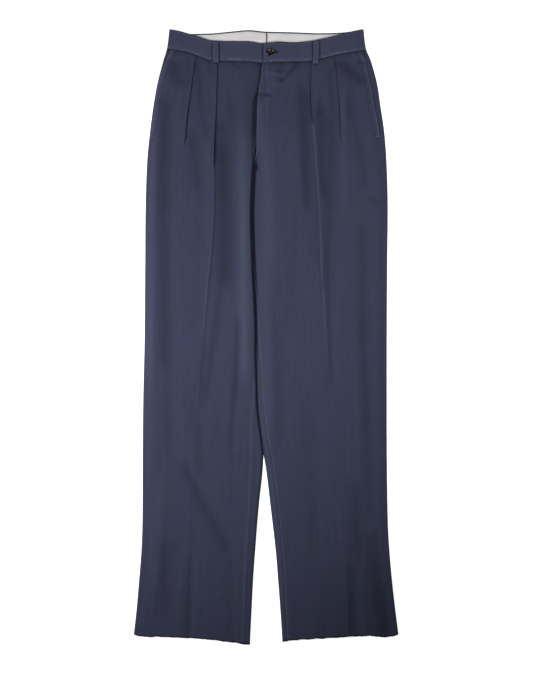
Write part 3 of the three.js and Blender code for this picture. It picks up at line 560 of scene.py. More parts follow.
def clothGrid(name, columns, rows, shape, replaced, thickness=chinos["clothThick"], up=1, soften=0,
              material=navyTwill):
    # a grid shaped by a function of its column and row, given thickness towards its inside
    bm = bmesh.new()
    bmesh.ops.create_grid(bm, x_segments=columns - 1, y_segments=rows - 1, size=0.5)
    # wear and painted light at each corner; below 0 it is painted shade
    wearAndPaintedLight = bm.verts.layers.float.new("wearAndPaintedLight")
    uvLayer = bm.loops.layers.uv.new("cloth")
    places = {}
    for vert in bm.verts:
        column = round((vert.co.x + 0.5) * (columns - 1))
        row = round((0.5 - vert.co.y) * (rows - 1))
        spot, wornAndPaintedLight, (across, along) = shape(column, row)
        vert.co = point(*spot)
        vert[wearAndPaintedLight] = clamp(wornAndPaintedLight, -1.0, 1.0)
        places[vert] = (across * mm, along * mm)
    for face in bm.faces:
        for loop in face.loops:
            loop[uvLayer].uv = places[loop.vert]
    bm.normal_update()
    if sum(face.normal.z * face.calc_area() for face in bm.faces) * up < 0:
        bmesh.ops.reverse_faces(bm, faces=bm.faces[:])
    surfaces[name] = BVHTree.FromBMesh(bm)
    piece = newPiece(name, bm, material)
    solid = piece.modifiers.new("cloth", "SOLIDIFY")
    solid.thickness = thickness * mm
    solid.offset = -1
    if soften:
        softenEdges(piece, soften)
    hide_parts(replaced)
    return piece


# Fronts: the columns run from the side to the middle in zones that keep to the pleats
frontPanels = {
    "rows": 330, "sideColumns": 12, "sideRun": 13.0, "outerColumns": 15, "betweenColumns": 15,
    "middleColumns": 38, "innerColumns": 12, "innerRun": 12.0, "spacing": 1.6,
    "levels": (62.0, 1190.0), "waistRows": (0.2, 2.2), "seamBlend": 120.0, "hemBlend": 60.0,
    "tuck": 3.0,            # the top edge runs this far up under the waistband
    "joinFade": 2.0, "pocketFoot": 211.0, "pocketFade": 3.0,
    "pocketRise": ((0.5, 1.5, 6.0), (-0.4, 0.0, 0.7)), "inseamGroove": (-0.55, 0.0, 0.8),
    "flyGroove": (-0.35, 0.0, 0.6),
}
# rubbed wear on edges and seams, plus painted light: painted shade at the hem's cut edge, in the troughs,
# towards the outer side of the left leg's foot and where the fly ends; painted highlights on the ridges and
# along the right leg's side
frontWearAndPaintedLight = {
    "side": (0.25, 0.0, 2.6), "pocket": (0.75, 0.0, 2.6), "pocketSeam": (-0.3, 9.6, 1.4),
    "inseam": (0.3, 0.0, 2.2), "fly": (0.55, 0.0, 2.2), "hem": ((0.12, 5.5, 2.2), (-0.8, 0.0, 2.6)),
    "ridge": 0.11, "trough": 0.075, "rightSideHighlight": (0.22, 9.0, 9.0), "rightFade": (620.0, 160.0),
    "leftFootShade": 0.2, "leftFrom": (960.0, 180.0), "leftAcross": (30.0, 130.0),
    # pucker: painted shade in the crumple where the fly ends
    "pucker": (-0.95, -17.4, 1.7),      # a dark spot where the fly ends
    "puckerAt": (268.0, 7.0),
}
pleats = {
    "depth": 18.0,
    "opens": 3.0,           # a fold shallower than this lies half open
    "zone": (-8.0, 5.0),    # how far from its line its columns lie once it's open
    "behind": 14.0, "dark": {"right": 1.0, "left": 0.62},
    "seamFade": {"Outer": 0.55, "Inner": 0.25}, "seamReach": (2.0, 22.0),
    "pressFade": (450.0, 350.0), "pressLoss": 0.75,
    # crest: painted highlight along the pressed crease with painted shade beside it; nose: painted highlight
    # on each fold's edge; mouth: painted shade under the fold; dark sets how strong these painted lines are
    "crest": {"right": ((0.16, -1.4, 2.0), (-0.3, 2.4, 1.8)), "left": ((0.3, 0.0, 3.0), (-0.14, 4.8, 2.4))},
    "nose": (0.45, -1.5, 3.0), "noseGrows": 3.0,
    "mouth": ((1.0, 0.0, 1.7), (0.22, 0.0, 5.0)), "mouthGrows": 4.0,
}

# A pleat's Z fold, from its upper layer round the nose, back under, and out again towards the fly
foldSteps = (
    [("over", t) for t in (0.0, 0.45, 0.8)]
    + [("nose", t) for t in (0.0, 0.25, 0.5, 0.75, 1.0)]
    + [("return", t) for t in (0.3, 0.7)]
    + [("tuck", t) for t in (0.0, 0.33, 0.67, 1.0)]
    + [("under", t) for t in (0.35, 0.7, 0.9, 1.0)]
)


def foldStep(step, depth, roll):
    # towards the fly, and up from the plain cloth
    part, t = step
    start, end = pleats["zone"]
    if part == "over":
        return lerp(start, -roll, t), 4 * roll
    if part == "nose":
        return -roll + roll * math.sin(math.pi * t), 3 * roll + roll * math.cos(math.pi * t)
    if part == "return":
        return lerp(-roll, -depth, t), 2 * roll
    if part == "tuck":
        return -depth - roll * math.sin(math.pi * t), roll + roll * math.cos(math.pi * t)
    return lerp(-depth, end, t), 0.0


def rowDown(base, x, seam):
    # rows follow the seam above and the hem below
    kit = frontPanels
    top, foot = kit["levels"]
    nearSeam = 1 - ease(base, top, kit["seamBlend"])
    nearFoot = ease(base, foot - kit["hemBlend"], kit["hemBlend"])
    return base + (seam - top) * nearSeam + (hemAt(x) - foot) * nearFoot


def frontDown(base, x):
    return rowDown(base, x, frontSeamAt(x) - frontPanels["tuck"])


def backDown(base, x):
    return rowDown(base, x, backEdgeAt(x) + chinos["bandHeight"] - frontPanels["tuck"])


def rowBase(row, rows):
    # rows lie closer together at the waist
    t = row / (rows - 1)
    share, power = frontPanels["waistRows"]
    return lerp(*frontPanels["levels"], (1 - share) * t + share * t**power)


def pocketAt(side, down):
    return pocketIn[side](down) if down < frontPanels["pocketFoot"] else 0.0


def pleatBehind(side, x, down):
    # height given to the cloth behind each pleat by the layers folded under it
    most = 0.0
    for which in ("Outer", "Inner"):
        depth = pleats["depth"] * pleatFolded[side + which](down)
        behind = inwardOf[side] * (pleatAt[side + which](down) - x)
        if behind > 0:
            rise = 4 * pleatRoll(down) * smooth(depth / pleats["opens"])
            most = max(most, rise * (1 - ease(behind, depth, pleats["behind"])))
    return most


def frontRow(side, base):
    # every column of one row, as (x, drop, rise, wear and painted light)
    inward = inwardOf[side]
    kit, wearAndPaintedLight = frontPanels, frontWearAndPaintedLight

    def sideCell(run):
        down = frontDown(base, sideAt[side](base) + inward * run)
        pocket = pocketAt(side, down)
        inset, drop = turnedEdge(run + pocket, 1)
        x = sideAt[side](down) + inward * inset
        opened = smooth(pocket / kit["pocketFade"])
        rise = opened * marks(run, *kit["pocketRise"]) + pleatBehind(side, x, down)
        rubAndPaintedLight = marks(run, wearAndPaintedLight["pocket"] if pocket > 0 else wearAndPaintedLight["side"])
        return x, drop, rise, rubAndPaintedLight + opened * marks(run, wearAndPaintedLight["pocketSeam"])

    def innerCell(run):
        down = frontDown(base, frontAt[side](base))
        wrap = wrapAt[side](down)
        inset, drop = turnedEdge(run + wrap, turnAt(down))
        x = frontAt[side](down) - inward * inset
        joined = smooth(wrap / kit["joinFade"])
        atFly = 1 - turnAt(down) if side == "left" else 0.0
        rise = joined * marks(run, kit["inseamGroove"]) + atFly * marks(run, kit["flyGroove"])
        rubAndPaintedLight = joined * marks(run, wearAndPaintedLight["inseam"]) + atFly * marks(run, wearAndPaintedLight["fly"])
        return x, drop, rise + pleatBehind(side, x, down), rubAndPaintedLight

    def pleatCells(which):
        down = frontDown(base, pleatAt[side + which](base))
        line = pleatAt[side + which](down)
        folded = pleatFolded[side + which](down)
        depth = pleats["depth"] * folded
        made = smooth(depth / pleats["opens"])
        roll = pleatRoll(down)
        fromSeam = ease(down - frontSeamAt(line), *pleats["seamReach"])
        dark = pleats["dark"][side] * lerp(1.0, fromSeam, pleats["seamFade"][which])
        faded = 1 - pleats["pressLoss"] * ease(down, *pleats["pressFade"])
        pressed = smooth(creaseAt[side](down)) * faded if which == "Inner" else 0.0
        found = []
        for k, step in enumerate(foldSteps):
            flat = lerp(*pleats["zone"], k / (len(foldSteps) - 1))
            towards, up = foldStep(step, depth, roll)
            x = line + inward * lerp(flat, towards, made)
            if step[0] == "over":
                up = min(up, pleatBehind(side, line + inward * flat, down))
            rise = lerp(pleatBehind(side, x, down) if flat < 0 else 0.0, up, made)
            # painted highlight on the crest and the fold's nose, painted shade in the mouth under the fold
            rubAndPaintedLight = pressed * marks(flat, *pleats["crest"][side])
            if step[0] in ("over", "nose"):
                rubAndPaintedLight += dark * smooth(folded * pleats["noseGrows"]) * marks(flat, pleats["nose"])
            else:
                shut = dark * made * smooth(folded * pleats["mouthGrows"])
                rubAndPaintedLight -= shut * marks(max(towards, 0), *pleats["mouth"])
            found.append((x, 0.0, rise, rubAndPaintedLight))
        return found

    def spread(start, end, count):
        xs = evenly(start[0], end[0], count + 2)[1:-1]
        return [(x, 0.0, pleatBehind(side, x, frontDown(base, x)), 0.0) for x in xs]

    fromSide = [sideCell(run) for run in edgeRuns(kit["sideRun"], kit["sideColumns"], kit["spacing"])]
    fromMiddle = [innerCell(run) for run in edgeRuns(kit["innerRun"], kit["innerColumns"], kit["spacing"])]
    zones = (fromSide, pleatCells("Outer"), pleatCells("Inner"), fromMiddle[::-1])
    between = (kit["outerColumns"], kit["betweenColumns"], kit["middleColumns"])
    cells = list(fromSide)
    for last, zone, count in zip(zones, zones[1:], between):
        cells += spread(last[-1], zone[0], count) + zone
    return cells


valley = {
    "wide": (6.0, 4.2, 2.4), "narrows": ((470.0, 120.0), (620.0, 120.0)), "edgeFrom": 2.0,
    "edgeSoft": 2.4, "haze": (0.1, 0.0, 9.0), "starts": 8.0, "ends": (815.0, 40.0),
}


def valleyShade(toEdge, down):
    # painted shade: the dark line where the legs lie against each other
    wide = valley["wide"][0]
    for narrower, reach in zip(valley["wide"][1:], valley["narrows"]):
        wide = lerp(wide, narrower, ease(down, *reach))
    near = 1 - ease(toEdge, wide - valley["edgeFrom"], valley["edgeSoft"])
    fade = turnAt(down - valley["starts"]) * (1 - ease(down, *valley["ends"]))
    return fade * (near + marks(toEdge, valley["haze"]))


def paintedFoldLight(x, down):
    # ridges are painted paler, partly as rubbed wear and partly as painted highlight, and troughs keep more
    # colour as painted shade
    height = foldsAt(x, down)
    return frontWearAndPaintedLight["ridge" if height > 0 else "trough"] * height


# Belt loops: a strip with both ends turned under, arched a little over the band between its bars
beltLoops = {
    "width": 11.0,
    "ply": 0.95,
    "rest": 0.1,
    "turnUnder": 7.0,
    "arch": 0.4,
    "archFrom": (7.5, 5.0),
    "above": 0.15,
    "topFrom": 1.2,
    "curl": {"top": 0.35, "under": -0.105},     # how far the long edges turn down
    "wave": (0.12, 4, 9, 3.0),
    "plainWear": 0.34,
    "edgeWear": (0.5, 0.5, 0.09),
    "backEdgeWear": (0.7, 0.5, 0.09),
    "backFrom": 0.6,
    "backBeyond": 4.0,
    "backThick": 1.15,
    "backRound": 0.35,
    "endWear": (0.35, 0.0, 1.2),
    "front": {
        "right": {"x": -98.0, "topDown": 23.6, "length": 41.4, "tilt": 0.4},
        "left": {"x": 97.0, "topDown": 23.2, "length": 43.9, "tilt": -1.6},
    },
    "back": (("side_right", -150), ("back", 2), ("side_left", 153)),
}
# strength, place and width of the painted shadows under the waistband's seam, below the belt loops and
# beside the fly
shadows = {
    "band": ((1.5, 0.3, 1.6), (0.08, 0.0, 8.0)), "loop": (0.9, 1.2, 1.9), "loopWide": 5.0,
    "flyStarts": (105.0, 45.0), "flyReach": (6.0, 9.6), "flySoft": (7.0, 3.0), "flyLap": 1.4,
    "flyBeyond": 4.0, "flyDark": 0.74, "flyHaze": (0.2, -6.0, 11.0), "flyFade": (190.0, 40.0),
    "flyLow": 0.72,
}


def paintedRecessShade(side, x, down):
    # painted shade where the cloth is tucked in under the waistband, below the belt loops, beside the fly
    # and along the valley between the legs
    kit = shadows
    found = marks(down - frontSeamAt(x), *kit["band"])
    loop = beltLoops["front"][side]
    pastLoop = down - loop["topDown"] - loop["length"]
    found += bell(x - loop["x"] - loop["tilt"] / 2, kit["loopWide"]) * marks(pastLoop, kit["loop"])
    if side == "right":
        beside = x - frontAt["left"](down)
        opened = ease(down, *kit["flyStarts"])
        reach = lerp(*kit["flyReach"], opened) + kit["flyLap"]
        near = smooth((beside + reach) / lerp(*kit["flySoft"], opened)) if beside < kit["flyBeyond"] else 0.0
        dark = kit["flyDark"] * near + marks(beside, kit["flyHaze"])
        found += (1 - turnAt(down)) * dark * lerp(1.0, kit["flyLow"], ease(down, *kit["flyFade"]))
    return found + valleyShade(abs(x - frontAt[side](down)), down)


# Raw hems: how near the cut edge is, and how ragged it is there
hemForm = {
    "near": 1.6, "ragged": ((1.1, 1.9), (1.3, 13.0)), "frontPlace": (4.2, 7.1),
    "backPlace": (9.2, 7.1), "pressed": 0.25, "rumple": (1, 5, 5, 1.0),
}


def nearHem(x, down):
    return bell(hemAt(x) - down, hemForm["near"])


def raggedHem(x, down, places):
    stands = 0.0
    for (high, wide), place in zip(hemForm["ragged"], places):
        stands += high * noise.noise(Vector((x / wide, place, 0.0)))
    return stands * nearHem(x, down)


def buildFront(side):
    rows, wearAndPaintedLight = frontPanels["rows"], frontWearAndPaintedLight
    made = [frontRow(side, rowBase(row, rows)) for row in range(rows)]
    along = []
    for cells in made:
        runs = [0.0]
        for last, cell in zip(cells, cells[1:]):
            runs.append(runs[-1] + math.hypot(cell[0] - last[0], cell[2] - last[2]))
        along.append(runs)

    def shape(column, row):
        x, drop, rise, wornAndPaintedLight = made[row][column]
        down = frontDown(rowBase(row, rows), x)
        z = frontTop(side, x, down) - drop + rise
        z -= hemForm["pressed"] * nearHem(x, down) * (1 + rumple(x, down, *hemForm["rumple"]))
        # paler rubbed line above the hem and painted shade at its edge, painted light on the folds, painted
        # shade in the recesses
        wornAndPaintedLight += marks(hemAt(x) - down, *wearAndPaintedLight["hem"]) + paintedFoldLight(x, down) - paintedRecessShade(side, x, down)
        # a painted highlight along the right leg's side; painted shade on the left leg's foot and where the
        # fly ends
        if side == "right":
            wornAndPaintedLight += marks(x - sideAt[side](down), wearAndPaintedLight["rightSideHighlight"]) * (1 - ease(down, *wearAndPaintedLight["rightFade"]))
        else:
            wornAndPaintedLight -= wearAndPaintedLight["leftFootShade"] * ease(down, *wearAndPaintedLight["leftFrom"]) * ease(x, *wearAndPaintedLight["leftAcross"])
            pucker, wide = wearAndPaintedLight["puckerAt"]
            wornAndPaintedLight += marks(x, wearAndPaintedLight["pucker"]) * bell(down - pucker, wide)
        return (x, down + raggedHem(x, down, hemForm["frontPlace"]), z), wornAndPaintedLight, (along[row][column], down)

    return clothGrid("front_cloth_" + side, len(made[0]), rows, shape, "front_panel_" + side)


fronts = [buildFront(side) for side in sides]
print("fronts laid,", sum(len(front.data.polygons) for front in fronts), "faces")

# Backs: flat on the floor, up round the side to the seam, and over the inner leg to the inseam
backPanels = {
    "rows": 210, "sideColumns": 9, "sideRun": 12.0, "flatColumns": 22, "innerColumns": 8,
    "innerRun": 11.0, "overColumns": 15, "spacing": 1.5,
    "inseamGroove": ((0.55, 0.0, 0.8), (-0.35, 4.0, 2.5)), "inseamWear": (0.3, 0.0, 1.6),
    # the hem is rubbed paler a little above its cut edge and painted with shade right at the edge
    "hemWearAndShade": ((0.4, 4.5, 2.0), (-0.7, 0.0, 1.9)), "rumple": (0.5, 38, 210, 5.5),
    "rumpleFrom": 20.0, "crease": (0.25, 0.0, 2.5),
    "tuckRise": 0.7,        # the top edge is raised a little where the waistband covers it
    "tuckFade": (-1.0, 5.0), "seamFade": 1.5,
    "overStart": 600.0,     # keeps the weave of the part that wraps over clear of the part below
}


def buildBack(side):
    kit = backPanels
    inward = inwardOf[side]
    rows = kit["rows"]

    def backRow(base):
        # every column of one row, as (x, face, drop, wear and painted light)
        level = backDown(base, sideAt[side](base))
        innerLevel = backDown(base, backAt[side](base))
        turn, middle = turnAt(innerLevel), backAt[side](innerLevel)
        cells, inner = [], []
        for run in edgeRuns(kit["sideRun"], kit["sideColumns"], kit["spacing"]):
            inset, drop = turnedEdge(run, 1)
            cells.append((sideAt[side](level) + inward * inset, "under", drop, 0.0))
        for run in edgeRuns(kit["innerRun"], kit["innerColumns"], kit["spacing"]):
            inset, drop = turnedEdge(run, turn)
            inner.insert(0, (middle - inward * inset, "under", drop, 0.0))
        flat = evenly(cells[-1][0], inner[0][0], kit["flatColumns"] + 2)[1:-1]
        cells += [(x, "under", 0.0, 0.0) for x in flat] + inner
        wrap = wrapAt[side](innerLevel)
        joined = smooth(wrap / frontPanels["joinFade"])
        for run in evenly(0.0, wrap, kit["overColumns"] + 1)[1:]:
            inset, drop = turnedEdge(run, turn)
            groove = joined * marks(wrap - run, *kit["inseamGroove"])
            # paler along the inseam, with painted shade along the valley between the legs
            rubAndPaintedLight = joined * marks(wrap - run, kit["inseamWear"]) - valleyShade(inset, innerLevel)
            cells.append((middle - inward * inset, "over", drop + groove, rubAndPaintedLight))
        return cells

    made = [backRow(rowBase(row, rows)) for row in range(rows)]

    def shape(column, row):
        x, face, drop, wornAndPaintedLight = made[row][column]
        down = (frontDown if face == "over" else backDown)(rowBase(row, rows), x)
        across = abs(x - sideAt[side](down))
        if face == "over":
            rest = smooth(wrapAt[side](down) / kit["seamFade"])
            z = lerp(liftAt(down) + turnedEdge(0, turnAt(down))[1], frontTop(side, x, down) - drop, rest)
            across = kit["overStart"] - across
        else:
            raised = max(0.0, rumple(x, down, *kit["rumple"]))
            raised += marks(x - pleatAt[side + "Inner"](down), kit["crease"])
            fromBand = down - backEdgeAt(x) - chinos["bandHeight"]
            tucked = kit["tuckRise"] * (1 - ease(fromBand, *kit["tuckFade"]))
            z = max(0.0, liftAt(down) + drop + tucked + raised * smooth(across / kit["rumpleFrom"]))
        wornAndPaintedLight += marks(hemAt(x) - down, *kit["hemWearAndShade"])
        return (x, down + raggedHem(x, down, hemForm["backPlace"]), z), wornAndPaintedLight, (across, down)

    clothGrid("back_cloth_" + side, len(made[0]), rows, shape, "back_panel_" + side, up=-1)


for side in sides:
    buildBack(side)
print("backs laid")

# Pocket facings show between the slanted pocket edge and the side, and run on under the fronts
facings = {
    "rows": 64, "columns": 22, "under": 13.0, "spacing": 1.3, "below": 7.0, "sunk": 1.5,
    "sunkFrom": (0.5, 2.6), "footSunk": 0.5, "footFrom": (-2.0, 4.0), "edgeWear": (0.12, 0.0, 3.0),
}


def buildFacing(side):
    kit = facings
    rows, columns, foot = kit["rows"], kit["columns"], frontPanels["pocketFoot"]

    def shape(column, row):
        base = lerp(frontPanels["levels"][0], foot + kit["below"], row / (rows - 1))
        level = frontDown(base, sideAt[side](base))
        pocket = pocketIn[side](level)
        run = edgeRuns(pocket + kit["under"], columns, kit["spacing"])[column]
        inset, drop = turnedEdge(run, 1)
        x = sideAt[side](level) + inwardOf[side] * inset
        down = frontDown(base, x)
        short, least = kit["sunkFrom"]
        sunk = kit["sunk"] * smooth(run / max(pocket - short, least))
        sunk += kit["footSunk"] * ease(down - foot, *kit["footFrom"])
        wornAndPaintedLight = marks(run, kit["edgeWear"]) - paintedRecessShade(side, x, down)
        return (x, down, frontTop(side, x, down) - drop - sunk), wornAndPaintedLight, (run, down)

    clothGrid("pocket_cloth_" + side, columns, rows, shape, "pocket_facing_" + side)


for side in sides:
    buildFacing(side)

buttonhole = {
    # the sixth entry gives the middle of the painted shade round the buttonhole's eye
    "from": 13.6, "to": 21.4, "down": 45.4, "half": 1.2, "eye": 2.4, "wornAndPaintedLight": (20.4, 44.8),
    "stitch": {"size": (1.9, 0.55, 0.6), "lift": 0.12}, "stitchOut": 0.75, "eyeOut": 0.85,
    "eyeArc": 2.3, "slitLift": 0.3, "slitWide": 1.56,
}

# Waistband: a folded strip with soft edges, in front and back halves
waistband = {
    "frontThick": 2.4, "backThick": 2.2, "frontHigh": 8.3, "ends": {"right": 14.0, "left": -4.9},
    "lap": {"right": (-1.2, -36.0, 26.0), "left": (-1.5, 14.0, 26.0)}, "leftRaised": 1.5,
    "edgeRound": 0.8, "turnRuns": (11.0, 10, 1.5), "swayFade": (12.0, 50.0),
    # the puckers along the seam are painted paler on their ridges and darker in their hollows, as painted
    # light; loopShade, lapShade and eyeShade are painted shadows beside the belt loops, under the lapped end
    # and round the buttonhole's eye
    "pucker": (0.75, 4.2, 10 / 3, 6.0), "puckerAt": (1.0, 2.0, 9.0), "puckerLightAndShade": 3.0,
    "wave": (0.35, 30, 40, 2.2), "waveFrom": 12.0, "plainWear": 0.25,
    # edgeWear makes the band paler a little below its top edge and darker right at it
    "edgeWear": ((0.25, 3.0, 1.8), (-0.5, 0.0, 1.0)), "seamWear": (0.35, 2.5, 2.2),
    "endWear": (0.4, 1.0, 1.4), "loopShade": (-0.9, 0.8, 1.6), "lapShade": (-0.9, -1.0, 2.2),
    "eyeShade": (-1.7, 0.0, 2.6), "backWear": (0.5, 0.0, 2.0),
}


def bandTop(side, x, down):
    edgeTop = chinos["bandLift"] + 2 * chinos["edgeRadius"]
    high = chinos["bandLift"] + waistband["frontHigh"]
    plain = lerp(edgeTop, high, smooth(abs(x - sideAt[side](down)) / chinos["sideShoulder"]))
    step, start, length = waistband["lap"][side]
    raised = waistband["leftRaised"] if side == "left" else 0.0
    return plain + raised + step * ease(x, start, length)


def bandColumns(side, end, count):
    # each as (x, drop), round the side's edge and then evenly to the end
    cells = []
    for run in edgeRuns(*waistband["turnRuns"]):
        inset, drop = turnedEdge(run, 1)
        cells.append((sideAt[side](chinos["bandHeight"]) + inwardOf[side] * inset, drop))
    return cells + [(x, 0.0) for x in evenly(cells[-1][0], end, count + 1)[1:]]


def bandSway(side, fromSide, down):
    # the band's end follows the slant of the side
    slant = sideAt[side](down) - sideAt[side](chinos["bandHeight"])
    return slant * (1 - ease(fromSide, *waistband["swayFade"]))


def buildFrontBand(side):
    kit = waistband
    rows, count = 26, 92
    cells = bandColumns(side, kit["ends"][side], count)

    def shape(column, row):
        x, drop = cells[column]
        share = row / (rows - 1)
        down = lerp(frontEdgeAt(x), frontSeamAt(x), share)
        fromSide = abs(x - sideAt[side](chinos["bandHeight"]))
        sway = bandSway(side, fromSide, down)
        fromEdge, toSeam = down - frontEdgeAt(x), frontSeamAt(x) - down
        pucker = rumple(x, share, *kit["pucker"]) * marks(toSeam, kit["puckerAt"])
        raised = (pucker + rumple(x, down, *kit["wave"])) * smooth(fromSide / kit["waveFrom"])
        z = bandTop(side, x + sway, down) - drop + raised
        wornAndPaintedLight = kit["plainWear"] + marks(fromEdge, *kit["edgeWear"])
        # paler above the seam, with painted light on the puckers
        wornAndPaintedLight += marks(toSeam, kit["seamWear"]) * (1 + kit["puckerLightAndShade"] * pucker)
        wornAndPaintedLight += marks(abs(x - kit["ends"][side]), kit["endWear"])
        # painted shade on the right band beside the left end where it laps over, and round the buttonhole's
        # eye on the left band
        if side == "right":
            wornAndPaintedLight += marks(x - kit["ends"]["left"], kit["lapShade"])
        else:
            eyeX, eyeDown = buttonhole["wornAndPaintedLight"]
            toEye = math.hypot(x - eyeX, down - eyeDown)
            wornAndPaintedLight += marks(toEye, kit["eyeShade"])
        # painted shade beside the belt loops
        toLoop = abs(x - beltLoops["front"][side]["x"]) - beltLoops["width"] / 2
        return (x + sway, down, z), wornAndPaintedLight + marks(toLoop, kit["loopShade"]), (x + sway, down)

    clothGrid("band_cloth_front_" + side, len(cells), rows, shape, "waistband_front_" + side,
              thickness=kit["frontThick"], soften=kit["edgeRound"])


def buildBackBand(side):
    kit = waistband
    rows, count = 22, 60
    cells = bandColumns(side, backAt[side](chinos["bandHeight"]) + 0.1 * inwardOf[side], count)

    def shape(column, row):
        x, drop = cells[column]
        down = backEdgeAt(x) + chinos["bandHeight"] * row / (rows - 1)
        sway = bandSway(side, abs(x - sideAt[side](chinos["bandHeight"])), down)
        wornAndPaintedLight = marks(down - backEdgeAt(x), kit["backWear"])
        return (x + sway, down, chinos["bandLift"] + drop), wornAndPaintedLight, (x + sway, down)

    clothGrid("band_cloth_back_" + side, len(cells), rows, shape, "waistband_back_" + side,
              thickness=kit["backThick"], up=-1, soften=kit["edgeRound"])


# The pale curtain on the inside of the back waistband, in halves that part at the seat seam
curtain = {
    "right": (-152.0, 0.5), "left": (158.0, 2.7), "columns": 90, "rows": 26, "below": 2.4,
    "height": 44.0, "thick": 0.8, "above": 0.3, "swell": 0.25, "ripple": (0.5, 13, 30, 12.0),
    "fold": (0.5, 0.34, 0.03), "endDip": (-0.25, 0.0, 2.2),
}


def buildCurtain(side):
    kit = curtain
    start, end = kit[side]
    base = chinos["bandLift"] + waistband["backThick"] + kit["above"] + kit["thick"]

    def shape(column, row):
        x = lerp(start, end, column / (kit["columns"] - 1))
        share = row / (kit["rows"] - 1)
        down = backEdgeAt(x) + kit["below"] + kit["height"] * share
        ripple = (kit["swell"] + rumple(x, down, *kit["ripple"])) * smooth(share * 6)
        z = base + ripple + marks(share, kit["fold"]) + marks(x - end, kit["endDip"])
        return (x, down, z), 0.0, (x, down)

    clothGrid("curtain_cloth_" + side, kit["columns"], kit["rows"], shape, "waistband_curtain_" + side,
              thickness=kit["thick"], material=paleCurtain)


for build in (buildFrontBand, buildBackBand, buildCurtain):
    for side in sides:
        build(side)
print("waistband and curtain sewn")


def dropOn(x, down, names):
    # the highest of these pieces under a point
    best = None
    for name in names:
        place = surfaces[name].ray_cast(point(x, down, 60.0), Vector((0, 0, -1)))[0]
        if place is not None and (best is None or place.z > best):
            best = place.z
    return best / mm if best is not None else None


def loopPath(length):
    # a loop's path: turned under, up over the roll, along the top and back under
    kit = beltLoops
    roll = kit["ply"] + 0.15
    turned = [(along, kit["rest"]) for along in evenly(kit["turnUnder"], roll, 5)]
    for k in range(1, 6):
        angle = math.pi * k / 6
        turned.append((roll - roll * math.sin(angle), kit["rest"] + roll - roll * math.cos(angle)))
    middle = []
    for along in evenly(roll, length - roll, 25):
        arch = kit["arch"] * ease(min(along, length - along), *kit["archFrom"])
        middle.append((along, kit["rest"] + 2 * roll + arch))
    return turned + middle + [(length - along, up) for along, up in reversed(turned)]


def loopMiddle(kit, along):
    return kit["x"] + kit["tilt"] * (along / kit["length"] - 0.5)


def buildFrontLoop(side):
    kit, width = beltLoops["front"][side], beltLoops["width"]
    names = ["band_cloth_front_" + side, "front_cloth_" + side]
    path = loopPath(kit["length"])
    columns, steps = 11, 24

    def restOn(along):
        spots = [loopMiddle(kit, along) + share * width for share in evenly(-0.5, 0.5, 5)]
        return max(dropOn(x, kit["topDown"] + along, names) or 0.0 for x in spots)

    steady = [restOn(along) for along in evenly(0.0, kit["length"], steps + 1)]

    def baseAt(along):
        k = int(clamp(along / kit["length"] * steps, 0, steps))
        return max(steady[clamp(k + step, 0, steps)] for step in (-2, -1, 0, 1, 2, 3))

    def shape(column, row):
        along, up = path[row]
        share = column / (columns - 1) - 0.5
        x = loopMiddle(kit, along) + share * width
        curl = beltLoops["curl"]["top" if up > beltLoops["topFrom"] else "under"]
        turned = curl * (abs(share) * 2) ** 6
        wornAndPaintedLight = beltLoops["plainWear"] + marks(abs(share), beltLoops["edgeWear"])
        wornAndPaintedLight += marks(min(along, kit["length"] - along), beltLoops["endWear"])
        z = baseAt(along) + beltLoops["above"] + up - turned + rumple(x, along, *beltLoops["wave"])
        return (x, kit["topDown"] + along, z), wornAndPaintedLight, (x, along + 2 * up)

    clothGrid("loop_cloth_front_" + side, columns, len(path), shape, "belt_loop_front_" + side,
              thickness=beltLoops["ply"])


def buildBackLoop(name, x):
    columns, rows = 9, 24
    topDown = backEdgeAt(x) + beltLoops["backFrom"]
    length = chinos["bandHeight"] + beltLoops["backBeyond"]

    def shape(column, row):
        share = column / (columns - 1) - 0.5
        at = x + share * beltLoops["width"]
        down = topDown + length * row / (rows - 1)
        return (at, down, 0.0), marks(abs(share), beltLoops["backEdgeWear"]), (at, down)

    clothGrid("loop_cloth_" + name, columns, rows, shape, "belt_loop_" + name,
              thickness=beltLoops["backThick"], up=-1, soften=beltLoops["backRound"])


for side in sides:
    buildFrontLoop(side)
for name, x in beltLoops["back"]:
    buildBackLoop(name, x)
print("belt loops sewn on")

# The button: a spun disc with a raised rim, drilled with four holes and sewn on with crossed thread
waistButton = {
    "x": 8.6, "down": 45.6, "above": 0.5, "turned": 0.35,
    "holeRadius": 0.9, "holeSpacing": 2.565, "drillUp": 1.6, "drillDeep": 8.0,
    "profile": ((0, 0), (5.6, 0), (6.8, 0.5), (7.5, 1.3), (7.6, 1.9), (7.3, 2.7), (6.6, 3.15), (5.9, 3.2),
                (5.2, 2.8), (4.7, 2.3), (4.0, 2.05), (0, 2.0)),
}
holeAway = waistButton["holeSpacing"] / math.sqrt(2)     # from the middle


def holeAngle(k):
    return math.tau / 8 * (2 * k + 1)


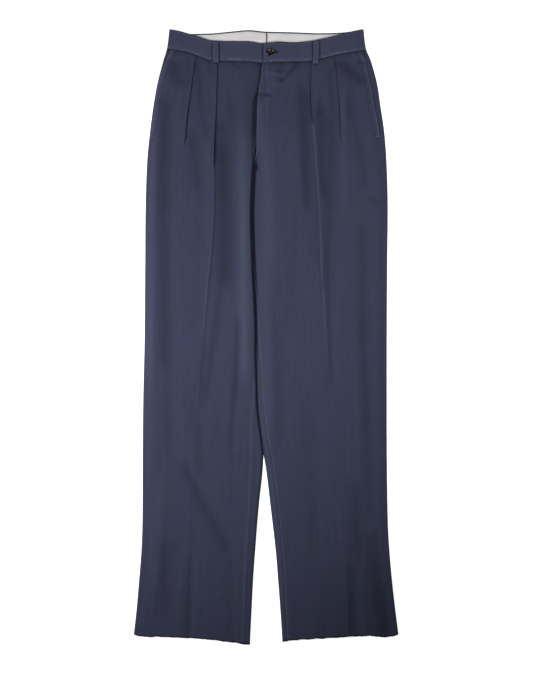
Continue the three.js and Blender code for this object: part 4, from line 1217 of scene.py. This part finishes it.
def buildButton():
    kit = waistButton
    seat = dropOn(kit["x"], kit["down"], ["band_cloth_front_left"])
    centre = point(kit["x"], kit["down"], seat + kit["above"])
    disc = bmesh.new()
    verts = [disc.verts.new((radius * mm, 0, up * mm)) for radius, up in kit["profile"]]
    edges = [disc.edges.new(pair) for pair in zip(verts, verts[1:])]
    bmesh.ops.spin(disc, geom=verts + edges, cent=(0, 0, 0), axis=(0, 0, 1), angle=math.tau, steps=56,
                   use_merge=True)
    bmesh.ops.remove_doubles(disc, verts=disc.verts[:], dist=0.00001)
    bmesh.ops.recalc_face_normals(disc, faces=disc.faces[:])
    button = newPiece("horn_button", disc, brownHorn)
    drills = bmesh.new()
    away, radius = holeAway * mm, kit["holeRadius"] * mm
    for k in range(4):
        angle = holeAngle(k)
        place = Matrix.Translation((away * math.cos(angle), away * math.sin(angle), kit["drillUp"] * mm))
        bmesh.ops.create_cone(drills, cap_ends=True, segments=18, radius1=radius, radius2=radius,
                              depth=kit["drillDeep"] * mm, matrix=place)
    drill = linked("drills", meshOf("drills", drills))
    cut = button.modifiers.new("holes", "BOOLEAN")
    cut.operation = "DIFFERENCE"
    cut.object = drill
    cut.solver = "EXACT"
    bpy.context.view_layer.update()
    drilled = bpy.data.meshes.new_from_object(button.evaluated_get(bpy.context.evaluated_depsgraph_get()))
    button.modifiers.clear()
    button.data = drilled
    bpy.data.objects.remove(drill)
    drilled.transform(Matrix.Translation(centre) @ Matrix.Rotation(kit["turned"], 4, "Z"))
    drilled.set_sharp_from_angle(angle=math.radians(40))
    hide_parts("waist_button")
    return button, centre


button, buttonCentre = buildButton()
print("button on")

# Stitches: small grains of thread laid along a path, pressed into what they are sewn to
stitchKit = {"pitch": 2.9, "size": (2.3, 0.5, 0.42), "lift": 0.08, "steepest": 0.8}
upward = Vector((0, 0, 1))


def seedMesh(name, make, **sizes):
    seed = bmesh.new()
    make(seed, **sizes)
    return meshOf(name, seed)


grain = seedMesh("grain", bmesh.ops.create_uvsphere, u_segments=6, v_segments=5, radius=mm)


def addCopy(bm, seed, matrix):
    seed.transform(matrix)
    bm.from_mesh(seed)
    seed.transform(matrix.inverted())


def addStitch(bm, centre, along, size):
    # size is length, width and height
    side = upward.cross(along).normalized()
    up = along.cross(side).normalized()
    turn = Matrix((along.normalized(), side, up)).transposed().to_4x4()
    half = Matrix.Diagonal((*(part / 2 for part in size), 1))
    addCopy(bm, grain, Matrix.Translation(centre) @ turn @ half)


def tack(bm, x, down, names, kit, heading=None):
    # one stitch on the cloth under it
    z = dropOn(x, down, names)
    if z is not None:
        along = Vector((*(heading or kit["heading"]), 0))
        addStitch(bm, point(x, down, z + kit["lift"]), along, kit["size"])


def sewPath(bm, path, names, pitch=stitchKit["pitch"], size=stitchKit["size"]):
    # path is a list of (x, down); stitches follow it at an even pitch
    left = pitch / 2
    steepest = stitchKit["steepest"]
    for (x0, d0), (x1, d1) in zip(path, path[1:]):
        span = math.hypot(x1 - x0, d1 - d0)
        while left <= span:
            t = left / span
            x, down = lerp(x0, x1, t), lerp(d0, d1, t)
            dx, dd = (x1 - x0) / span, (d1 - d0) / span
            z = dropOn(x, down, names)
            ahead = dropOn(x + dx, down + dd, names)
            if z is not None:
                rise = (ahead - z) if ahead is not None else 0.0
                along = Vector((dx, -dd, clamp(rise, -steepest, steepest)))
                addStitch(bm, point(x, down, z + stitchKit["lift"]), along, size)
            left += pitch
        left -= span


flyCurve = table("down x", (66, 4.2), (90, 4.0), (150, 3.4), (205, 1.6), (234, 1.2), (252, 2.2), (265, -2.4),
                 (277, -7.8), (289, -13.5))
barTack = {"x": 1.4, "down": 256, "step": 0.5, "heading": (-0.3, 1), "size": (2.2, 0.6, 0.5), "lift": 0.15}


def sewPiece(name, paths, bars=(), thread=navyThread):
    # each path and each bar's stitch as sewPath and tack take them
    bm = bmesh.new()
    for path in paths:
        sewPath(bm, *path)
    for bar in bars:
        tack(bm, *bar)
    return newPiece(name, bm, thread)


def flyStitching():
    kit, names = barTack, ["front_cloth_left"]
    lineAt = curve(flyCurve, "x")
    path = [(lineAt(down), down) for down in range(66, 289, 3)]
    bar = [(kit["x"] + kit["step"] * k, kit["down"], names, kit) for k in range(-2, 3)]
    return sewPiece("stitches_fly", [(path, names)], bar)


# Each line of a pocket's edge lies this far in, from this far down to this far; the bar closes its foot
pocketSewing = {
    "lines": ((1.6, 42, 210), (7.2, 46, 206)), "barUp": 3.0, "barFrom": -3.0, "barStep": 0.9,
    "heading": (0.2, 1), "size": (2.6, 0.75, 0.7), "lift": 0.15,
}


def pocketStitching(side):
    kit, names = pocketSewing, ["front_cloth_" + side, "pocket_cloth_" + side]

    def inFrom(offset, down):
        inset = turnedEdge(pocketIn[side](down) + offset, 1)[0]
        return sideAt[side](down) + inwardOf[side] * inset

    paths = []
    for offset, start, end in kit["lines"]:
        downs = [down for down in range(start, end, 3) if down > frontSeamAt(sideAt[side](down)) + 1]
        paths.append(([(inFrom(offset, down), down) for down in downs], names[:1]))
    barDown = frontPanels["pocketFoot"] - kit["barUp"]
    bar = [(inFrom(kit["barFrom"] + kit["barStep"] * k, barDown), barDown, names, kit) for k in range(12)]
    return sewPiece("stitches_pocket_" + side, paths, bar)


inseamLines = {"right": ((1.5, 680),), "left": ((1.6, 455), (-7.0, 560))}


def inseamStitching(side):
    # each line lies this far past the inseam, from this far down
    paths = []
    for offset, start in inseamLines[side]:
        path = []
        for down in range(start, 1186, 4):
            run = wrapAt[side](down) + offset
            if run > 1.5:
                path.append((frontAt[side](down) - inwardOf[side] * turnedEdge(run, 1)[0], down))
        paths.append((path, ["front_cloth_" + side, "back_cloth_" + side]))
    return sewPiece("stitches_inseam_" + side, paths)


loopSewing = {"shares": (-0.33, 0.33), "ends": 1.5, "pitch": 2.6, "size": (2.1, 0.5, 0.42)}
loopBars = {"ends": 3.4, "step": 0.85, "heading": (0.25, 1), "size": (2.0, 0.6, 0.5), "lift": 0.1}


def loopStitching(side):
    sewn, bars, kit = loopSewing, loopBars, beltLoops["front"][side]
    names, length, top = ["loop_cloth_front_" + side], kit["length"], kit["topDown"]
    paths, tacks = [], []
    for share in sewn["shares"]:
        alongs = evenly(sewn["ends"], length - sewn["ends"], 14)
        path = [(loopMiddle(kit, along) + share * beltLoops["width"], top + along) for along in alongs]
        paths.append((path, names, sewn["pitch"], sewn["size"]))
    for along in (bars["ends"], length - bars["ends"]):
        for k in range(-5, 6):
            tacks.append((loopMiddle(kit, along) + bars["step"] * k, top + along, names, bars))
    return sewPiece("stitches_loop_" + side, paths, tacks)


def buttonholeStitching():
    bm = bmesh.new()
    kit = buttonhole
    names = ["band_cloth_front_left"]

    def purl(x, down, out):
        tack(bm, x, down, names, kit["stitch"], (out[0], -out[1]))

    for x in evenly(kit["from"], kit["to"] - 1.0, 13):
        for hand in (-1, 1):
            purl(x, kit["down"] + hand * (kit["half"] + kit["stitchOut"]), (0, hand))
    reach = kit["eye"] + kit["eyeOut"]
    for angle in evenly(-kit["eyeArc"], kit["eyeArc"], 14):
        out = (math.cos(angle), math.sin(angle))
        purl(kit["to"] + reach * out[0], kit["down"] + reach * out[1], out)
    hole = newPiece("stitches_buttonhole", bm, darkThread)
    # a near-black disc and strip laid over the band: painted shade inside the buttonhole's opening
    shadeSheet = bmesh.new()
    around = [(kit["to"] + out, kit["down"] + aside) for out in (-6, -3, 0, 2.4) for aside in (-2, 0, 2)]
    high = max(dropOn(x, down, names) for x, down in around) + kit["slitLift"]
    bmesh.ops.create_circle(shadeSheet, cap_ends=True, segments=20, radius=kit["eye"] * mm,
                            matrix=Matrix.Translation(point(kit["to"], kit["down"], high)))
    middle = Matrix.Translation(point((kit["from"] + kit["to"]) / 2, kit["down"], high))
    size = Matrix.Diagonal(((kit["to"] - kit["from"]) * mm, kit["slitWide"] * mm, 1, 1))
    bmesh.ops.create_grid(shadeSheet, x_segments=1, y_segments=1, size=0.5, matrix=middle @ size)
    return hole, newPiece("buttonhole_painted_shade", shadeSheet, paintedHoleShade)


buttonSewing = {"shifts": (-0.25, 0.25), "above": 2.25, "ply": 0.2, "beyond": 1.4, "thick": 0.6}


def buttonThread():
    bm = bmesh.new()
    kit = buttonSewing
    size = (2 * holeAway + kit["beyond"], kit["thick"], kit["thick"])
    for k in range(2):
        for shift in kit["shifts"]:
            angle = waistButton["turned"] + holeAngle(k)
            along = Vector((math.cos(angle), math.sin(angle), 0))
            across = Vector((-math.sin(angle), math.cos(angle), 0))
            centre = buttonCentre + across * shift * mm + upward * (kit["above"] + kit["ply"] * k) * mm
            addStitch(bm, centre, along, size)
    return newPiece("button_thread", bm, darkThread)


flyLine = flyStitching()
pocketLines = {side: pocketStitching(side) for side in sides}
inseams = {side: inseamStitching(side) for side in sides}
loopLines = {side: loopStitching(side) for side in sides}
buttonholeThread, buttonholeShadeSheet = buttonholeStitching()
buttonCross = buttonThread()
print("topstitching done")

# Raw hems: short loose yarns along the cut edges
fray = {
    "perLeg": 260, "onBack": 0.35, "longest": 4.6, "shortest": 0.25, "thick": 0.2, "thinning": 0.45,
    "inset": 0.8, "sunk": 0.25, "lowest": 0.3, "lean": 0.5, "rise": 0.12, "bend": 0.45, "droop": -0.25,
    "floor": 0.4,           # a yarn that comes this near the floor runs along it
    "flatten": 0.2,
}
yarnEnd = seedMesh("yarnEnd", bmesh.ops.create_cone, cap_ends=True, segments=4, radius1=mm, radius2=0.6 * mm,
                   depth=mm)


def buildFray(side):
    bm = bmesh.new()
    ends = sorted((sideAt[side](1190), frontAt[side](1190)))
    for k in range(fray["perLeg"]):
        x = lerp(ends[0] + 1, ends[1] - 1, (k + random.random()) / fray["perLeg"])
        panel = "back_cloth_" if random.random() < fray["onBack"] else "front_cloth_"
        z = dropOn(x, hemAt(x) - 1.0, [panel + side])
        if z is None:
            continue
        at = point(x, hemAt(x) - fray["inset"], max(z - fray["sunk"], fray["lowest"]))
        heading = Vector((random.gauss(0, fray["lean"]), -1, random.gauss(0, fray["rise"]))).normalized()
        length = fray["longest"] * (fray["shortest"] + (1 - fray["shortest"]) * random.random() ** 2)
        for part in range(2):
            middle = at + heading * (length / 4) * mm
            turn = heading.to_track_quat("Z", "Y").to_matrix().to_4x4()
            thick = fray["thick"] * (1 - fray["thinning"] * part)
            size = Matrix.Diagonal((thick, thick, length / 2, 1))
            addCopy(bm, yarnEnd, Matrix.Translation(middle) @ turn @ size)
            at = at + heading * (length / 2) * mm
            heading = (heading + Vector((random.gauss(0, fray["bend"]), 0, fray["droop"]))).normalized()
            if at.z < fray["floor"] * mm:
                heading.z = abs(heading.z) * fray["flatten"]
    return newPiece("hem_fray_" + side, bm, darkThread)


frays = {side: buildFray(side) for side in sides}
print("hems frayed")

floorLook = {"size": 44.0, "below": 0.0006, "colour": (0.86, 0.86, 0.865, 1), "glow": 0.86}


def makeFloor():
    bm = bmesh.new()
    bmesh.ops.create_grid(bm, x_segments=1, y_segments=1, size=floorLook["size"] / 2)
    material, tree = newMaterial("paleFloor")
    finish(tree, {"Base Color": floorLook["colour"], "Roughness": 0.9, "Emission Color": (1, 1, 1, 1),
                  "Emission Strength": floorLook["glow"]})
    floor = linked("floor", meshOf("floor", bm))
    floor.data.materials.append(material)
    floor.location.z = -floorLook["below"]


makeFloor()

studio = {
    "camera": {"lens": 85.0, "sensor": 36.0, "field": 1.3163, "x": 0.0078, "y": -0.0006},
    "key": {"at": (-1.3, 0.02, 1.1), "aim": (-0.22, -0.16, 0), "size": 0.55, "spread": 84, "power": 7.2},
    "fill": {"at": (0.6, -0.3, 1.52), "aim": (0.05, 0.5, 0), "size": 0.9, "spread": 70, "power": 4.5},
    "air": 0.02,
}


def softBox(name, kit):
    light = bpy.data.lights.new(name, "AREA")
    light.energy = kit["power"]
    light.size = kit["size"]
    light.spread = math.radians(kit["spread"])
    lamp = linked(name, light)
    lamp.location = kit["at"]
    lamp.rotation_euler = (Vector(kit["aim"]) - Vector(kit["at"])).to_track_quat("-Z", "Y").to_euler()


softBox("keyLight", studio["key"])
softBox("fillLight", studio["fill"])
world = bpy.data.worlds.new("studioAir")
world.use_nodes = True
air = world.node_tree.nodes["Background"].inputs
air["Color"].default_value = (1, 1, 1, 1)
air["Strength"].default_value = studio["air"]
scene.world = world
scene.view_settings.view_transform = "Standard"

lens = bpy.data.cameras.new("camera")
lens.lens = studio["camera"]["lens"]
lens.sensor_width = studio["camera"]["sensor"]
camera = linked("camera", lens)
camera.location = (studio["camera"]["x"], studio["camera"]["y"],
                   studio["camera"]["field"] * lens.lens / lens.sensor_width)
scene.camera = camera
print("studio set")
